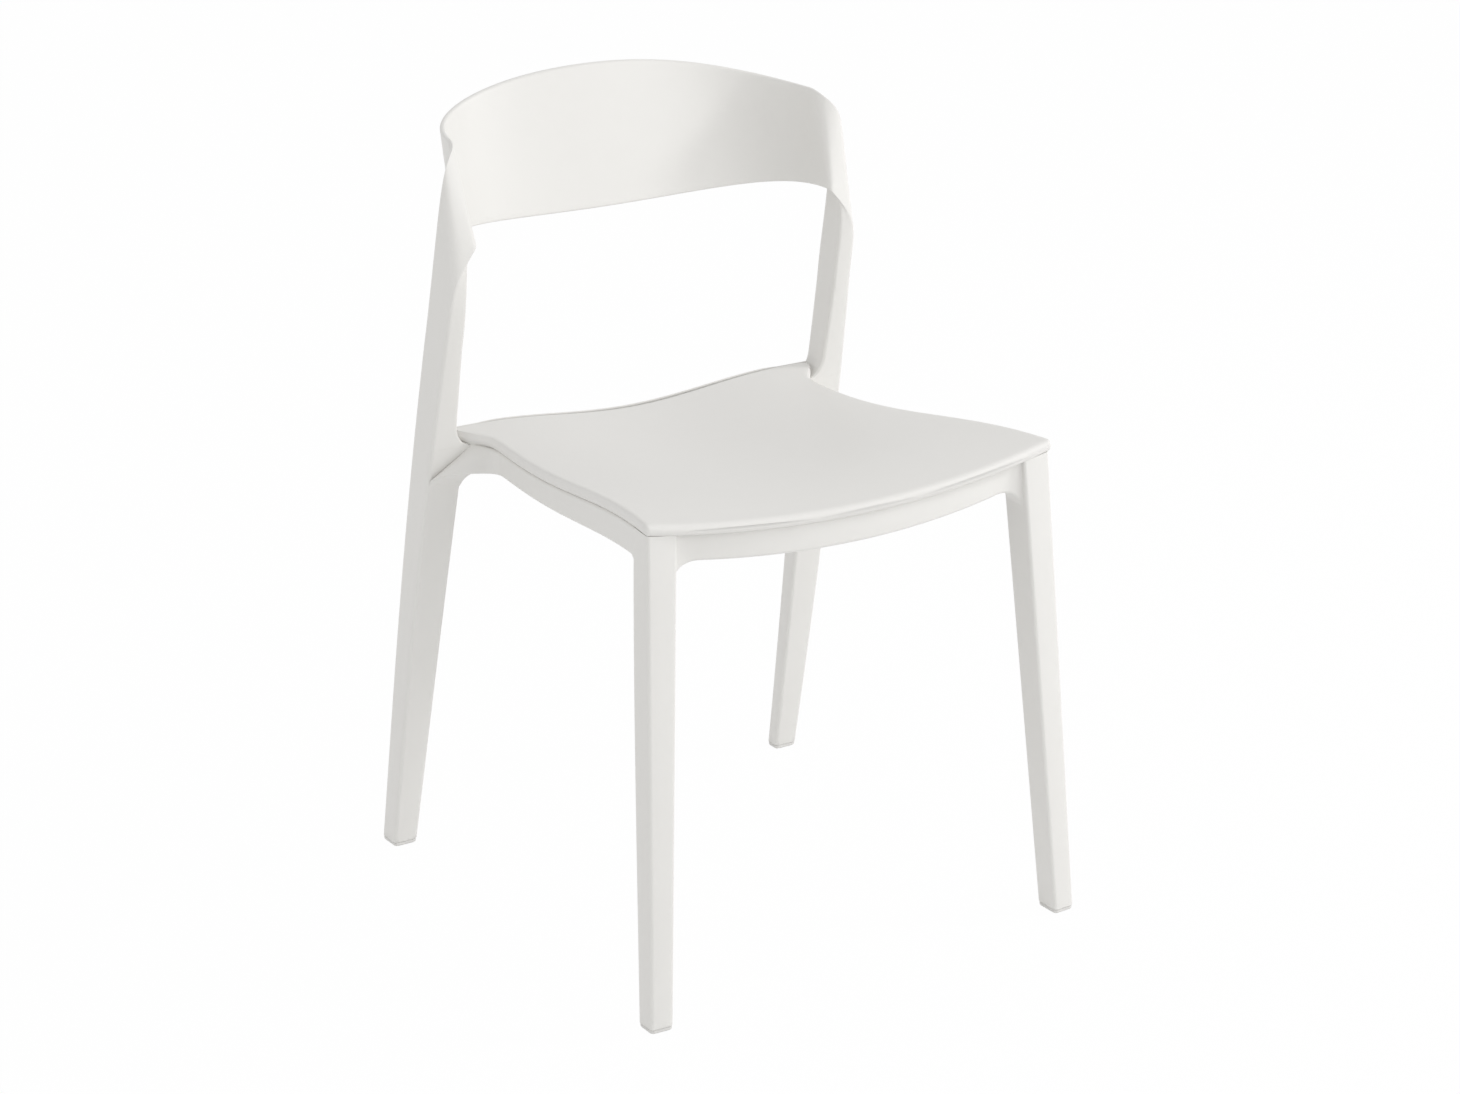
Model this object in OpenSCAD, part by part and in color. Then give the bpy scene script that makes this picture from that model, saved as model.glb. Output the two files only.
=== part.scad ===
// Stacking chair. A moulded frame of legs, rails and a folded backrest band carries
// a separate dished seat panel, held by four screws, and stands on four glides.
// The origin is on the floor under the middle of the chair. The front is -Y and +Z is up.
// All sizes are in millimetres. The chair is symmetric about X = 0.

/* [Overall size] */
// Width across the outsides of the rear feet
foot_span = 474; // [445:1:500]
// Width across the outsides of the front feet
front_foot_span = 468; // [440:1:500]
// Depth from the front of the front feet to the back of the rear feet
foot_depth = 499; // [470:1:530]
// Height of the seat's front corners
seat_h = 460; // [440:1:480]
// Height of the top of the backrest at its middle
overall_h = 748; // [735:1:765]

/* [Seat panel] */
// Width of the seat at its front corners
seat_front_w = 435; // [424:1:442]
// Width of the seat where it is narrowest
seat_waist_w = 354; // [344:1:364]
// Width of the seat at its rear corners
seat_rear_w = 378; // [368:1:384]
// Distance of the rear edge behind the front faces of the posts
seat_setback = 26; // [22:0.5:26]
// Distance of the side edges' highest line behind the front edge
crest_run = 15; // [10:1:20]
// Distance of the narrowest line in front of the posts
waist_run = 20; // [14:1:26]
// Length over which the panel widens again to its rear corners
corner_run = 28; // [22:1:34]
// Rounding of the rear corners seen from above
corner_r = 4; // [2:1:14]
// How far the front lip bows forward at its middle
lip_bow = 16; // [8:1:20]
// Depth of the saddle dip from front to back
seat_dip = 22; // [14:1:28]
// Depth of the hollow across the seat at the front
front_hollow = 15; // [8:1:20]
// Depth of the hollow across the seat at the rear
rear_hollow = 12; // [6:1:16]
// Thickness of the panel's sheet
seat_t = 6; // [5:0.5:7]
// Thickness of the panel's rounded edge
edge_t = 10; // [8:0.5:12]
// Height of the shadow gap between the panel's edge and the frame
shadow_gap = 1; // [0.5:0.5:4]
// Distance of the skirt inside the panel's rounded edge
skirt_inset = 1; // [0.5:0.5:4]
// Thickness of the skirt and of the ribs
rib_t = 3; // [2:0.5:4]
// Depth of the ribs below the panel
rib_h = 10; // [6:1:14]
// Distance between the ribs
rib_pitch = 85; // [60:5:100]

/* [Front legs] */
// Width of the leg at the foot
front_foot_w = 22.5; // [18:0.5:26]
// Depth of the leg's outer side at the foot
front_foot_d = 21.5; // [18:0.5:25]
// Width of the leg at the top
front_top_w = 30; // [25:0.5:33]
// Depth of the leg's outer side at the top
front_top_d = 29; // [26:0.5:35]
// How far the foot stands forward of the top
front_rake = 33.5; // [20:0.5:40]
// How far the inner front edge stands forward of the outer one
front_toe = 1; // [0:0.5:3]
// How far the inner rear edge stands behind the outer one
front_heel = 4.5; // [2:0.5:7]

/* [Rear legs and posts] */
// Width across the outsides of the posts at seat height
post_span = 456; // [448:1:462]
// Angle by which the legs and posts lean forward
rear_lean = 11.6; // [9:0.1:14]
// Width of the leg at the foot
rear_foot_w = 25; // [20:0.5:28]
// Width of the leg under the seat
hip_w = 35; // [30:0.5:38]
// Width of the post at seat height
post_w = 24; // [20:0.5:26]
// Width of the post where the shoulder starts
neck_w = 19.5; // [16:0.5:22]
// Depth of the leg's outer side at the foot
rear_foot_d = 26; // [23:0.5:30]
// Depth of the post's outer side
post_d = 38; // [34:0.5:43]
// How far the inner side is shallower than the outer side
heel_slant = 10; // [6:0.5:14]
// Distance of the hips' inner faces inside the seat's narrowest line
hip_inset = 5; // [3:0.5:8]
// Height of the round under the hip
hip_fillet = 20; // [14:1:26]
// Gap between the seat's rear corner and the flare beside it
flare_gap = 0.5; // [0.5:0.5:2]
// Height of the rounded flare from the seat's rear corner up the post
flare_h = 21; // [16:1:30]

/* [Rails] */
// Width of the side rails
rail_w = 22; // [18:0.5:26]
// Height of the side rails
rail_h = 27; // [22:0.5:32]
// Height of the side rails where the arch starts
rail_rear_h = 22; // [20:0.5:28]
// Distance of the frame inside the seat panel's edge
rail_inset = 1.5; // [1:0.5:3]
// Radius under the side rail at the front leg
rail_fillet = 10; // [6:1:16]
// Length of the arch where the side rail runs into the rear leg
arch_l = 16; // [12:1:26]
// Drop of that arch below the side rail
arch_drop = 20; // [12:1:26]
// How far it drops at the leg's outer side
arch_outer_drop = 13; // [8:1:20]
// Thickness of the front rail
apron_t = 18; // [14:0.5:20]
// Height of the front rail
apron_h = 26.5; // [20:0.5:32]
// How much further than the panel's front edge the front rail bows forward
apron_bow = 3; // [0:0.5:6]
// How far the front rail stands behind the legs' front edges
apron_setback = 9; // [6:0.5:12]
// Height of the round under the front rail at the legs
apron_fillet = 20; // [10:1:24]
// Width of that round, over which the rail also comes forward to the legs
apron_sweep = 27; // [16:1:32]
// Height of the rear rail
rear_rail_h = 24; // [20:0.5:28]
// How far the rear rail's lip stands below the panel's corners at the posts
lip_drop = 4.5; // [3:0.5:6]

/* [Backrest] */
// Height of the band at its middle
band_h = 130; // [120:1:140]
// Thickness of the band at its lower rim
band_t = 7; // [6:0.5:9]
// Thickness of the band at its top rim
rim_t = 5; // [4:0.5:7]
// Depth of the band's curve from its middle to the folds, along the lower rim
band_depth = 91; // [84:1:98]
// Angle by which the band leans back
band_recline = 17; // [12:0.5:20]
// Drop of the top rim from the middle to the folds
rim_drop = 31; // [24:1:38]
// Rise of the lower rim from the middle to the folds
low_rim_rise = 9; // [4:1:12]
// Squareness of the band's curve seen from above, where 2 is an ellipse
band_square = 3.2; // [2.6:0.1:3.8]
// How far around its quarter curve the top rim has come at the folds, in degrees
rim_turn = 79; // [74:1:88]
// Distance of the folds inside the outsides of the posts
fold_inset = 31; // [28:0.5:36]
// How much closer together the folds are at the lower rim, on each side
fold_splay = 6; // [3:0.5:9]
// Distance of the lower fold behind the front plane of the posts
fold_setback = 9.5; // [7:0.5:12]
// Height below the lower rim at which the posts start to turn into the shoulders
shoulder_h = 97; // [80:1:110]

/* [Glides and screws] */
// Thickness of a glide under the foot
glide_t = 4; // [3:0.5:6]
// Diameter of a glide's stem
stem_d = 8; // [6:0.5:10]
// Length of a glide's stem
stem_l = 16; // [10:1:24]
// Clearance around the stem
stem_fit = 0.1; // [0.05:0.05:0.3]
// Diameter of a seat screw
screw_d = 4; // [3:0.5:5]
// Length of a seat screw under its head
screw_l = 14; // [12:1:18]
// Clearance around a screw's shank in its boss
screw_fit = 0.1; // [0.05:0.05:0.2]
// Diameter of the bosses that take the screws
boss_d = 12; // [9:1:14]
// Diameter of a screw's head
head_d = 8; // [6:0.5:9]
// Height of a screw's head
head_h = 2.5; // [2:0.5:3]
// Thickness of the lugs that the screws pass through
lug_t = 5; // [4:0.5:7]
// Radius of a lug's round end
lug_r = 9; // [7:0.5:11]
// Depth of the lugs below the frame's top
lug_drop = 6; // [4:1:8]
// Distance of the front screws in front of the middle
screw_front = 120; // [90:5:140]
// Distance of the rear screws behind the middle
screw_rear = 60; // [40:5:80]

/* [Hidden] */

WHITE = [0.93, 0.92, 0.90];
GLIDE_GREY = [0.80, 0.80, 0.78];
STEEL = [0.62, 0.63, 0.65];
seat_fit = 0.4;      // clearance where a curved face of the seat panel rests on the frame
face_fit = 0.2;      // clearance where a flat face rests on another
lug_fit = 0.3;       // clearance around a screw's shank in its lug
rib_fit = 3;         // the ribs get deep this far inside the rails
cut = 1;             // how far a bore runs on past the faces that it opens
edge_r = 3;          // rounding of the long edges of the frame
corner_steps = 3;    // facets around each of those edges

// ---------- small helpers ----------
function mix(a, b, t) = a + (b - a) * t;
function clamp(v) = min(1, max(0, v));
function smooth(v) = let (t = clamp(v)) t * t * (3 - 2 * t);
// Quarter round that leaves one line at 0 and meets the next square on at 1
function quarter(v) = 1 - sqrt(1 - pow(clamp(v), 2));
function unit(v) = v / norm(v);
function bezier(p, t) = pow(1 - t, 3) * p[0] + 3 * pow(1 - t, 2) * t * p[1]
    + 3 * (1 - t) * pow(t, 2) * p[2] + pow(t, 3) * p[3];

// Closed ring through four corners, with each corner rounded
function rounded(c, r) = [for (i = [0:3])
    let (p = c[i], a = c[(i + 3) % 4] - p, b = c[(i + 1) % 4] - p,
         start = p + unit(a) * min(r, norm(a) * 0.45),
         end = p + unit(b) * min(r, norm(b) * 0.45))
    for (k = [0:corner_steps])
        let (t = k / corner_steps)
        start * pow(1 - t, 2) + p * 2 * t * (1 - t) + end * pow(t, 2)];

// Sum of a list of vectors, and the way that a closed ring turns as an area vector
function total(v, i = 0) = i < len(v) - 1 ? v[i] + total(v, i + 1) : v[i];
function ring_area(ring) = total([for (i = [0:len(ring) - 1])
    cross(ring[i] - ring[0], ring[(i + 1) % len(ring)] - ring[0])]);

// Solid through a row of rings with the same even number of points. Each ring runs
// along one side and back along the other, so opposite points close the ends.
module loft(rings) {
    n = len(rings[0]);
    last = (len(rings) - 1) * n;
    sides = [for (i = [0:len(rings) - 2], j = [0:n - 1])
        let (a = i * n + j, b = i * n + (j + 1) % n)
        each [[a, a + n, b], [b, a + n, b + n]]];
    ends = [for (j = [0:n / 2 - 2])
        let (k = n - 1 - j)
        each [[j, j + 1, k], [j + 1, k - 1, k],
              [last + j, last + k, last + j + 1], [last + j + 1, last + k, last + k - 1]]];
    faces = concat(sides, ends);
    outward = ring_area(rings[0]) * (total(rings[1]) - total(rings[0])) > 0;
    polyhedron([for (ring = rings) each ring],
        outward ? faces : [for (f = faces) [f[0], f[2], f[1]]], convexity = 8);
}

// ---------- planes of the legs ----------
foot_z = glide_t;                        // underside of the feet, on the glides
// Front legs: inner front edge, rear face and outer side at a height
front_top_z = seat_h - edge_t - shadow_gap;
function front_edge_y(z) = -foot_depth / 2 + front_rake * z / front_top_z;
function front_depth(z) = mix(front_foot_d, front_top_d, z / front_top_z);
function front_back_y(z) = front_edge_y(z) + front_toe + front_depth(z);
front_top_x = seat_front_w / 2 - 2 * rail_inset;
function front_outer_x(z) = mix(front_foot_span / 2, front_top_x, z / front_top_z);
function front_inner_x(z) = front_outer_x(z) - mix(front_foot_w, front_top_w, z / front_top_z);

// Rear legs: front face, outer side and depth of that side at a height
function post_front_y(z) = foot_depth / 2 - rear_foot_d - z * tan(rear_lean);
function rear_outer_x(z) = mix(foot_span, post_span, pow(z / seat_h, 2.6)) / 2;
function rear_depth(z) = mix(rear_foot_d, post_d, pow(z / seat_h, 1.4));

// ---------- seat surface ----------
seat_front_y = front_edge_y(front_top_z) + front_toe - rail_inset;
seat_rear_y = post_front_y(seat_h) + seat_setback;
seat_l = seat_rear_y - seat_front_y;
hip_y = post_front_y(seat_h);            // where the posts stand on the seat's rear corners
crest_y = seat_front_y + crest_run;      // highest line of the side edges
dip_part = 0.74;                         // part of the length at which they are lowest
dip_y = seat_front_y + dip_part * seat_l;
waist_y = hip_y - waist_run;             // narrowest line
waist_power = 1.35;                      // more than 1 narrows the panel soonest at the front
bowl_reach = 1.12;                       // more than 1 levels the rear edge near its ends

// Half width of the panel along its side edges
function seat_half(y) = seat_waist_w / 2
    + (seat_front_w - seat_waist_w) / 2
        * pow(max(0, waist_y - y) / (waist_y - seat_front_y), waist_power)
    + (seat_rear_w - seat_waist_w) / 2 * smooth((y - waist_y) / corner_run);
// Height of the panel's top
function seat_side_z(y) = seat_h
    - seat_dip / 2 * (1 - cos(180 * (y - crest_y) / (dip_y - crest_y)));
function seat_z(x, y) =
    let (v = clamp((y - seat_front_y) / seat_l), u = min(1, abs(x / seat_half(y))))
    seat_side_z(y) - mix(front_hollow, rear_hollow, v)
        * mix(1 - u * u, (1 + cos(180 * min(1, bowl_reach * u))) / 2, v);
// Height of the frame's top under the panel
function frame_z(x, y) = seat_z(x, y) - edge_t - shadow_gap;

// ---------- front legs ----------
function front_leg_ring(s) =
    let (outer_x = front_top_x, inner_x = front_inner_x(front_top_z),
         y0 = front_edge_y(front_top_z), y1 = front_back_y(front_top_z),
         z = [for (p = [[outer_x, y0 + front_toe], [inner_x, y0],
                        [inner_x, y1 + front_heel], [outer_x, y1]])
              mix(glide_t, frame_z(p[0], p[1]), s)],
         turn_in = outer_x + rail_inset - seat_half(y1))
    rounded([
        [front_outer_x(z[0]), front_edge_y(z[0]) + front_toe, z[0]],
        [front_inner_x(z[1]), front_edge_y(z[1]), z[1]],
        [front_inner_x(z[2]), front_back_y(z[2]) + front_heel, z[2]],
        [front_outer_x(z[3]) - turn_in * pow(s, 4), front_back_y(z[3]), z[3]]], edge_r);

front_stem = [(front_outer_x(foot_z) + front_inner_x(foot_z)) / 2,
              (front_edge_y(foot_z) + front_toe + front_back_y(foot_z)) / 2];

module stem_bore(at) {
    translate([at[0], at[1], foot_z - cut])
        cylinder(d = stem_d + 2 * stem_fit, h = stem_l + 2 * cut, $fn = 32);
}

module front_leg() {
    color(WHITE) difference() {
        loft([for (i = [0:12]) front_leg_ring(i / 12)]);
        stem_bore(front_stem);
    }
}

// ---------- rear legs with posts and shoulders ----------
hip_x = seat_waist_w / 2 - hip_inset;               // inner face of the hip under the seat
hip_top = frame_z(hip_x, hip_y);                    // top of the hip
hip_bottom = hip_top - rear_rail_h;
flare_x = seat_rear_w / 2 + flare_gap;              // foot of the flare beside the panel
flare_foot = seat_z(flare_x, hip_y) - edge_t;
neck_z = overall_h - band_h + low_rim_rise - shoulder_h;

// Width of the leg below the hip, and of the post above it
function rear_width(z) = z < hip_bottom
    ? mix(hip_w, rear_foot_w, pow(max(0, 1 - z / (hip_bottom - hip_fillet)), 1.5))
    : mix(post_w, neck_w, (z - seat_h) / (neck_z - seat_h));
// Inner side of the leg, with the round under the hip, the hip and the flare above it
function rear_inner_x(z) =
    let (x = rear_outer_x(z) - rear_width(z))
    z < hip_bottom ? mix(x, hip_x, quarter((z - hip_bottom + hip_fillet) / hip_fillet))
    : z <= hip_top ? hip_x
    : z < flare_foot ? flare_x
    : mix(x, flare_x, quarter((flare_foot + flare_h - z) / flare_h));

function rear_leg_corners(z) =
    let (y = post_front_y(z), d = rear_depth(z), outer = rear_outer_x(z),
         inner = rear_inner_x(z))
    [[outer, y, z], [inner, y, z], [inner, y + d - heel_slant, z], [outer, y + d, z]];

// Fold line at the right end of the band, at the lower rim and at the top rim
fold_x = post_span / 2 - fold_inset;
rim_z = overall_h - rim_drop;
low_rim_z = overall_h - band_h + low_rim_rise;
band_lean = tan(band_recline);
fold_low_y = post_front_y(low_rim_z) + fold_setback;
band_back_y = fold_low_y + band_depth;
crease_bow = 1.5;                                   // how far the fold stands back at the top
fold_low = [fold_x - fold_splay, fold_low_y, low_rim_z];
fold_top = [fold_x, fold_low_y + (rim_z - low_rim_z) * band_lean + crease_bow, rim_z];
// Rear side of the band at the fold, where its thickness runs across the corner
fold_back_low = fold_low + 0.95 * band_t * [1, 1, 0];
fold_back_top = fold_top + 0.95 * rim_t * [1, 1, -1];

// The shoulder's four edges run from the post to the fold as curves. Each one leaves
// the post along post_rise, for its own post pull, and reaches the fold from the pull
// given here, outwards, in depth and in height.
post_rise = [-0.05, -tan(rear_lean), 1];
neck = rear_leg_corners(neck_z);
post_pulls = [64, 50, 62, 150];
low_pull = [31, -5, -36];
back_low_pull = [11, -12, -14];
back_top_pull = [8, -24, -29];
top_pull = [30, -22, -23];
shoulder_edges = [
    [neck[0], neck[0] + post_pulls[0] * post_rise, fold_low + low_pull, fold_low],
    [neck[1], neck[1] + post_pulls[1] * post_rise, fold_back_low + back_low_pull, fold_back_low],
    [neck[2], neck[2] + post_pulls[2] * post_rise, fold_back_top + back_top_pull, fold_back_top],
    [neck[3], neck[3] + post_pulls[3] * post_rise, fold_top + top_pull, fold_top]];
rim_r = 0.45 * rim_t;                               // rounding of the band's rims
function shoulder_ring(t) =
    rounded([for (edge = shoulder_edges) bezier(edge, t)], mix(edge_r, rim_r, t));

ledge_t = 0.5;       // height over which the leg steps in above the hip
leg_heights = concat(
    [for (i = [0:7]) mix(glide_t, hip_bottom - hip_fillet, i / 7)],
    [for (i = [1:6]) hip_bottom - hip_fillet * (1 - sin(15 * i))],
    [hip_top, hip_top + ledge_t],
    [for (i = [0:6]) flare_foot + flare_h * (1 - cos(15 * i))],
    [for (i = [1:3]) mix(flare_foot + flare_h, neck_z, i / 4)]);

rear_stem = [(rear_outer_x(foot_z) + rear_inner_x(foot_z)) / 2,
             post_front_y(foot_z) + (rear_foot_d - heel_slant) / 2];

module rear_leg() {
    color(WHITE) difference() {
        loft(concat([for (z = leg_heights) rounded(rear_leg_corners(z), edge_r)],
                    [for (i = [0:18]) shoulder_ring(i / 18)]));
        stem_bore(rear_stem);
    }
}

// ---------- backrest band ----------
// Each rim is a Lame curve seen from above. It runs from 0 degrees at the middle of the
// back to its turn at the fold, and s is the part of the way to the right fold.
function curve_x(a) = pow(sin(a), 2 / band_square);
function curve_y(a) = pow(cos(a), 2 / band_square);
function rim_point(s, turn, fold, back_y, middle_z) =
    let (a = turn * abs(s), u = curve_x(a) / curve_x(turn),
         w = (1 - curve_y(a)) / (1 - curve_y(turn)))
    [sign(s) * u * fold[0], mix(back_y, fold[1], w), mix(middle_z, fold[2], u * u)];
function low_rim(s) = rim_point(s, 90, fold_low, band_back_y, overall_h - band_h);
function top_rim(s) =
    rim_point(s, rim_turn, fold_top, band_back_y + band_h * band_lean, overall_h);
// Level direction square to the lower rim, towards the rear
function band_normal(s) =
    let (run = low_rim(min(1, s + 0.02)) - low_rim(max(-1, s - 0.02)))
    unit([-run[1], run[0], 0]);
function mirrored(points, side) = [for (p = points) [side * p[0], p[1], p[2]]];
function band_ring(s) = abs(s) == 1
    ? rounded(mirrored([fold_low, fold_back_low, fold_back_top, fold_top], s), rim_r)
    : rounded([low_rim(s), low_rim(s) + band_t * band_normal(s),
               top_rim(s) + rim_t * band_normal(s), top_rim(s)], rim_r);
module backrest_band() {
    color(WHITE) loft([for (i = [-24:24]) band_ring(i / 24)]);
}

// ---------- side rails ----------
// A station runs from 0 on the front leg's rear face to 1 on the rear leg's front face
arch_inset = 1;      // the foot of the arch stays this far inside the leg's sides
function rail_y(v, z) = mix(front_back_y(z), post_front_y(z), v);
function side_rail_ring(v) =
    let (y = rail_y(v, hip_top),
         run = (rail_y(1, hip_top) - y),
         spread = smooth(1 - run / (2 * arch_l)),
         arch = quarter(1 - run / arch_l),
         top_outer = seat_half(y) - rail_inset,
         top_inner = mix(top_outer - rail_w, hip_x, spread),
         toe = quarter(1 - (y - rail_y(0, hip_top)) / rail_fillet),
         z_top = frame_z(top_outer, y),
         z_low = z_top - mix(rail_h, rail_rear_h, smooth(v)) - rail_fillet * toe,
         z_outer = z_low - arch_outer_drop * arch,
         z_inner = z_low - arch_drop * arch,
         low_outer = mix(top_outer, rear_outer_x(z_outer) - arch_inset, spread),
         low_inner = mix(top_inner, rear_inner_x(z_inner) + arch_inset, spread))
    rounded([
        [low_outer, rail_y(v, z_outer), z_outer],
        [low_inner, rail_y(v, z_inner), z_inner],
        [top_inner, rail_y(v, z_top), frame_z(top_inner, y)],
        [top_outer, rail_y(v, z_top), z_top]], edge_r);

function lug_x(y) = seat_half(y) - rail_inset - rail_w - lug_r;
function lug_top(y) = frame_z(lug_x(y), y) - lug_drop;

module lug(y) {
    translate([lug_x(y), y, lug_top(y) - lug_t]) linear_extrude(lug_t) union() {
        circle(r = lug_r, $fn = 48);
        translate([0, -lug_r]) square([lug_r + rail_w / 2, 2 * lug_r]);
    }
}
module side_rail() {
    color(WHITE) difference() {
        union() {
            loft([for (i = [0:32]) side_rail_ring((1 - cos(180 * i / 32)) / 2)]);
            for (y = [-screw_front, screw_rear]) lug(y);
        }
        for (y = [-screw_front, screw_rear])
            translate([lug_x(y), y, lug_top(y) - lug_t - cut])
                cylinder(d = screw_d + 2 * lug_fit, h = lug_t + 2 * cut, $fn = 32);
    }
}

// ---------- front rail ----------
leg_line = 2;        // at the legs the rail stands this far behind their front edges
function apron_y(u, corner) = front_edge_y(front_top_z)
    + mix(apron_setback, leg_line, corner) - (lip_bow + apron_bow) * (1 - u * u);
function front_rail_ring(u) =
    let (x = abs(u) * front_inner_x(front_top_z),
         corner = quarter(1 - (front_inner_x(front_top_z) - x) / apron_sweep),
         y = apron_y(u, corner),
         y_back = apron_y(u, 0) + apron_t,
         z_top = frame_z(x, y),
         z_back = frame_z(x, y_back),
         z_low = z_top - apron_h - apron_fillet * corner)
    rounded([
        [u * front_inner_x(z_low), y, z_low],
        [u * front_inner_x(z_low), y_back, z_low],
        [u * front_inner_x(z_back), y_back, z_back],
        [u * front_inner_x(z_top), y, z_top]], edge_r);
module front_rail() {
    color(WHITE) loft([for (i = [-20:20]) front_rail_ring(sin(90 * i / 20))]);
}

// ---------- rear rail ----------
// A bar between the hips, and a raised lip behind the panel's rear edge. Sections are
// set out from the posts' front plane, and lean with it.
bar_front = 6;
lip_lead = 1.5;                          // the lip starts this far before the panel's edge
lip_front = seat_setback - lip_lead;
lip_below = 0.5;                         // at its middle the lip is this much below the panel
lip_ramp = 24;                           // length over which the lip gets lower at each end
lip_r = 1.5;
rear_rail_back = rear_depth(hip_top) - heel_slant;
function leaning(x, offset, z) = [x, post_front_y(z) + offset, z];
function ledge_z(x, offset) = frame_z(x, post_front_y(hip_top) + offset);
function bar_ring(x) = rounded([
    leaning(x, bar_front, hip_bottom),
    leaning(x, rear_rail_back, hip_bottom),
    leaning(x, rear_rail_back, ledge_z(x, lip_front)),
    leaning(x, bar_front, ledge_z(x, bar_front))], edge_r);
// Height of the flare's surface at a distance from the middle
function flare_z(x) =
    let (post_x = rear_inner_x(flare_foot + flare_h), part = (post_x - x) / (post_x - flare_x))
    flare_foot + flare_h * (1 - sqrt(1 - pow(1 - clamp(part), 2)));
function lip_ring(x) =
    let (low = abs(x) < hip_x ? hip_bottom + edge_r
             : (abs(x) <= flare_x ? hip_top : flare_z(abs(x))) + seat_fit,
         high = seat_z(x, seat_rear_y)
             - mix(lip_below, lip_drop, smooth((abs(x) - hip_x) / lip_ramp + 1)))
    rounded([leaning(x, lip_front, low), leaning(x, rear_rail_back, low),
             leaning(x, rear_rail_back, high), leaning(x, lip_front, high)], lip_r);
// The lip ends on the flare, where it has become this thin
lip_tip_t = 1.5;
lip_tip_x = rear_inner_x(seat_side_z(seat_rear_y) - lip_drop - lip_tip_t - seat_fit);
lip_sides = concat([hip_x - edge_r, hip_x],
                   [for (i = [0:4]) mix(flare_x, lip_tip_x, i / 4)]);
module rear_rail() {
    color(WHITE) union() {
        loft([for (i = [-10:10]) bar_ring(hip_x * i / 10)]);
        loft([for (x = concat([for (i = [len(lip_sides) - 1:-1:0]) -lip_sides[i]],
                              [for (i = [-11:11]) lip_sides[0] * i / 12], lip_sides))
              lip_ring(x)]);
    }
}

// ---------- seat panel ----------
// The panel is one sheet on a grid of columns across it and rows along it. A line of
// the grid is [station, distance, drop]. At the edges the distance is measured inwards
// from the edge, elsewhere it is measured from the station. The drop is how far the
// edge, the skirt or a rib stands down below the sheet along the line.
nose_r = edge_t / 2;
draft = 0.4;                                  // slope at the sides of a wall or rib
edge_h = edge_t - seat_t;                     // depth of the rounded edge below the sheet
rest_h = edge_h + shadow_gap - seat_fit;      // depth of the skirt, down to the frame
skirt_at = nose_r + skirt_inset;
rail_zone = rail_inset + rail_w + rib_fit;    // the ribs stay shallow over the rails
rib_run = 8;                                  // length over which a rib gets deep
far = 1000;                                   // stands for a line away from the edges
rib_u = 2 * rib_pitch / seat_front_w;         // station of the outer ribs, across
rib_v = rib_pitch / seat_l;                   // stations from one cross rib to the next

function edge_lines(at) = [
    [at, nose_r, edge_h], [at, skirt_at, edge_h], [at, skirt_at + draft, rest_h],
    [at, skirt_at + rib_t - draft, rest_h], [at, skirt_at + rib_t, 0],
    [at, rail_zone, 0], [at, rail_zone + rib_run, 0]];
function rib_lines(at) = [
    [at, -rib_t / 2, 0], [at, draft - rib_t / 2, rib_h],
    [at, rib_t / 2 - draft, rib_h], [at, rib_t / 2, 0]];
function plain_lines(from, to, count) =
    [for (i = [1:count]) [mix(from, to, i / (count + 1)), 0, 0]];
function backwards(list) = [for (i = [len(list) - 1:-1:0]) list[i]];
side_u = 0.8;                                 // stations where the edge lines have ended
side_v = 0.9;
columns = concat(
    edge_lines(-1), plain_lines(-side_u, -rib_u, 2), rib_lines(-rib_u),
    plain_lines(-rib_u, 0, 2), rib_lines(0), plain_lines(0, rib_u, 2),
    rib_lines(rib_u), plain_lines(rib_u, side_u, 2), backwards(edge_lines(1)));
rows = concat(
    edge_lines(0), plain_lines(1 - side_v, 0.5 - rib_v, 2), rib_lines(0.5 - rib_v),
    plain_lines(0.5 - rib_v, 0.5, 3), rib_lines(0.5), plain_lines(0.5, 0.5 + rib_v, 3),
    rib_lines(0.5 + rib_v), plain_lines(0.5 + rib_v, side_v, 2), backwards(edge_lines(1)));

// Distance of a line from the edges at the first and last stations
function inside(line, first) = line[0] == first || line[0] == 1 ? line[1] : far;
function underside_drop(column, row) =
    let (d = min(inside(column, -1), inside(row, 0)))
    min(d < skirt_at + draft ? edge_h : d < rail_zone + rib_run ? rest_h : rib_h,
        max(column[2], row[2]));

// Line across the panel at a station from 0 at the front to 1 at the rear
function seat_line_y(u, v) = mix(seat_front_y, seat_rear_y, v)
    - lip_bow * (1 - u * u) * pow(1 - v, 2)
    - corner_r * quarter(1 - (1 - abs(u)) * seat_rear_w / 2 / corner_r) * pow(v, 6);
function row_y(u, row) = seat_line_y(u, row[0]) + (row[0] == 1 ? -row[1] : row[1]);
function column_x(column, half_w) = column[0] * half_w
    + (abs(column[0]) == 1 ? -column[0] * column[1] : column[1]);

// Ring around the panel along a row, where half is half the edge's height there. It runs
// over the top from left to right and back along the underside.
function seat_ring(row, half) =
    let (half_w = seat_half(row_y(1, row)))
    concat(
        [for (b = [20, 60]) seat_edge(-half_w, row, half, b)],
        [for (c = columns) sheet_point(column_x(c, half_w), half_w, row, half)],
        [for (b = [60, 20, -20, -60]) seat_edge(half_w, row, half, b)],
        [for (c = backwards(columns))
            sheet_point(column_x(c, half_w), half_w, row, edge_h - half - underside_drop(c, row))],
        [for (b = [-60, -20]) seat_edge(-half_w, row, half, b)]);
function sheet_point(x, half_w, row, up) =
    let (y = row_y(x / half_w, row))
    [x, y, seat_z(x, y) - nose_r + up];
function seat_edge(edge_x, row, half, b) =
    let (x = edge_x - sign(edge_x) * (nose_r - half * cos(b)))
    sheet_point(x, abs(edge_x), row, half * sin(b));
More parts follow.
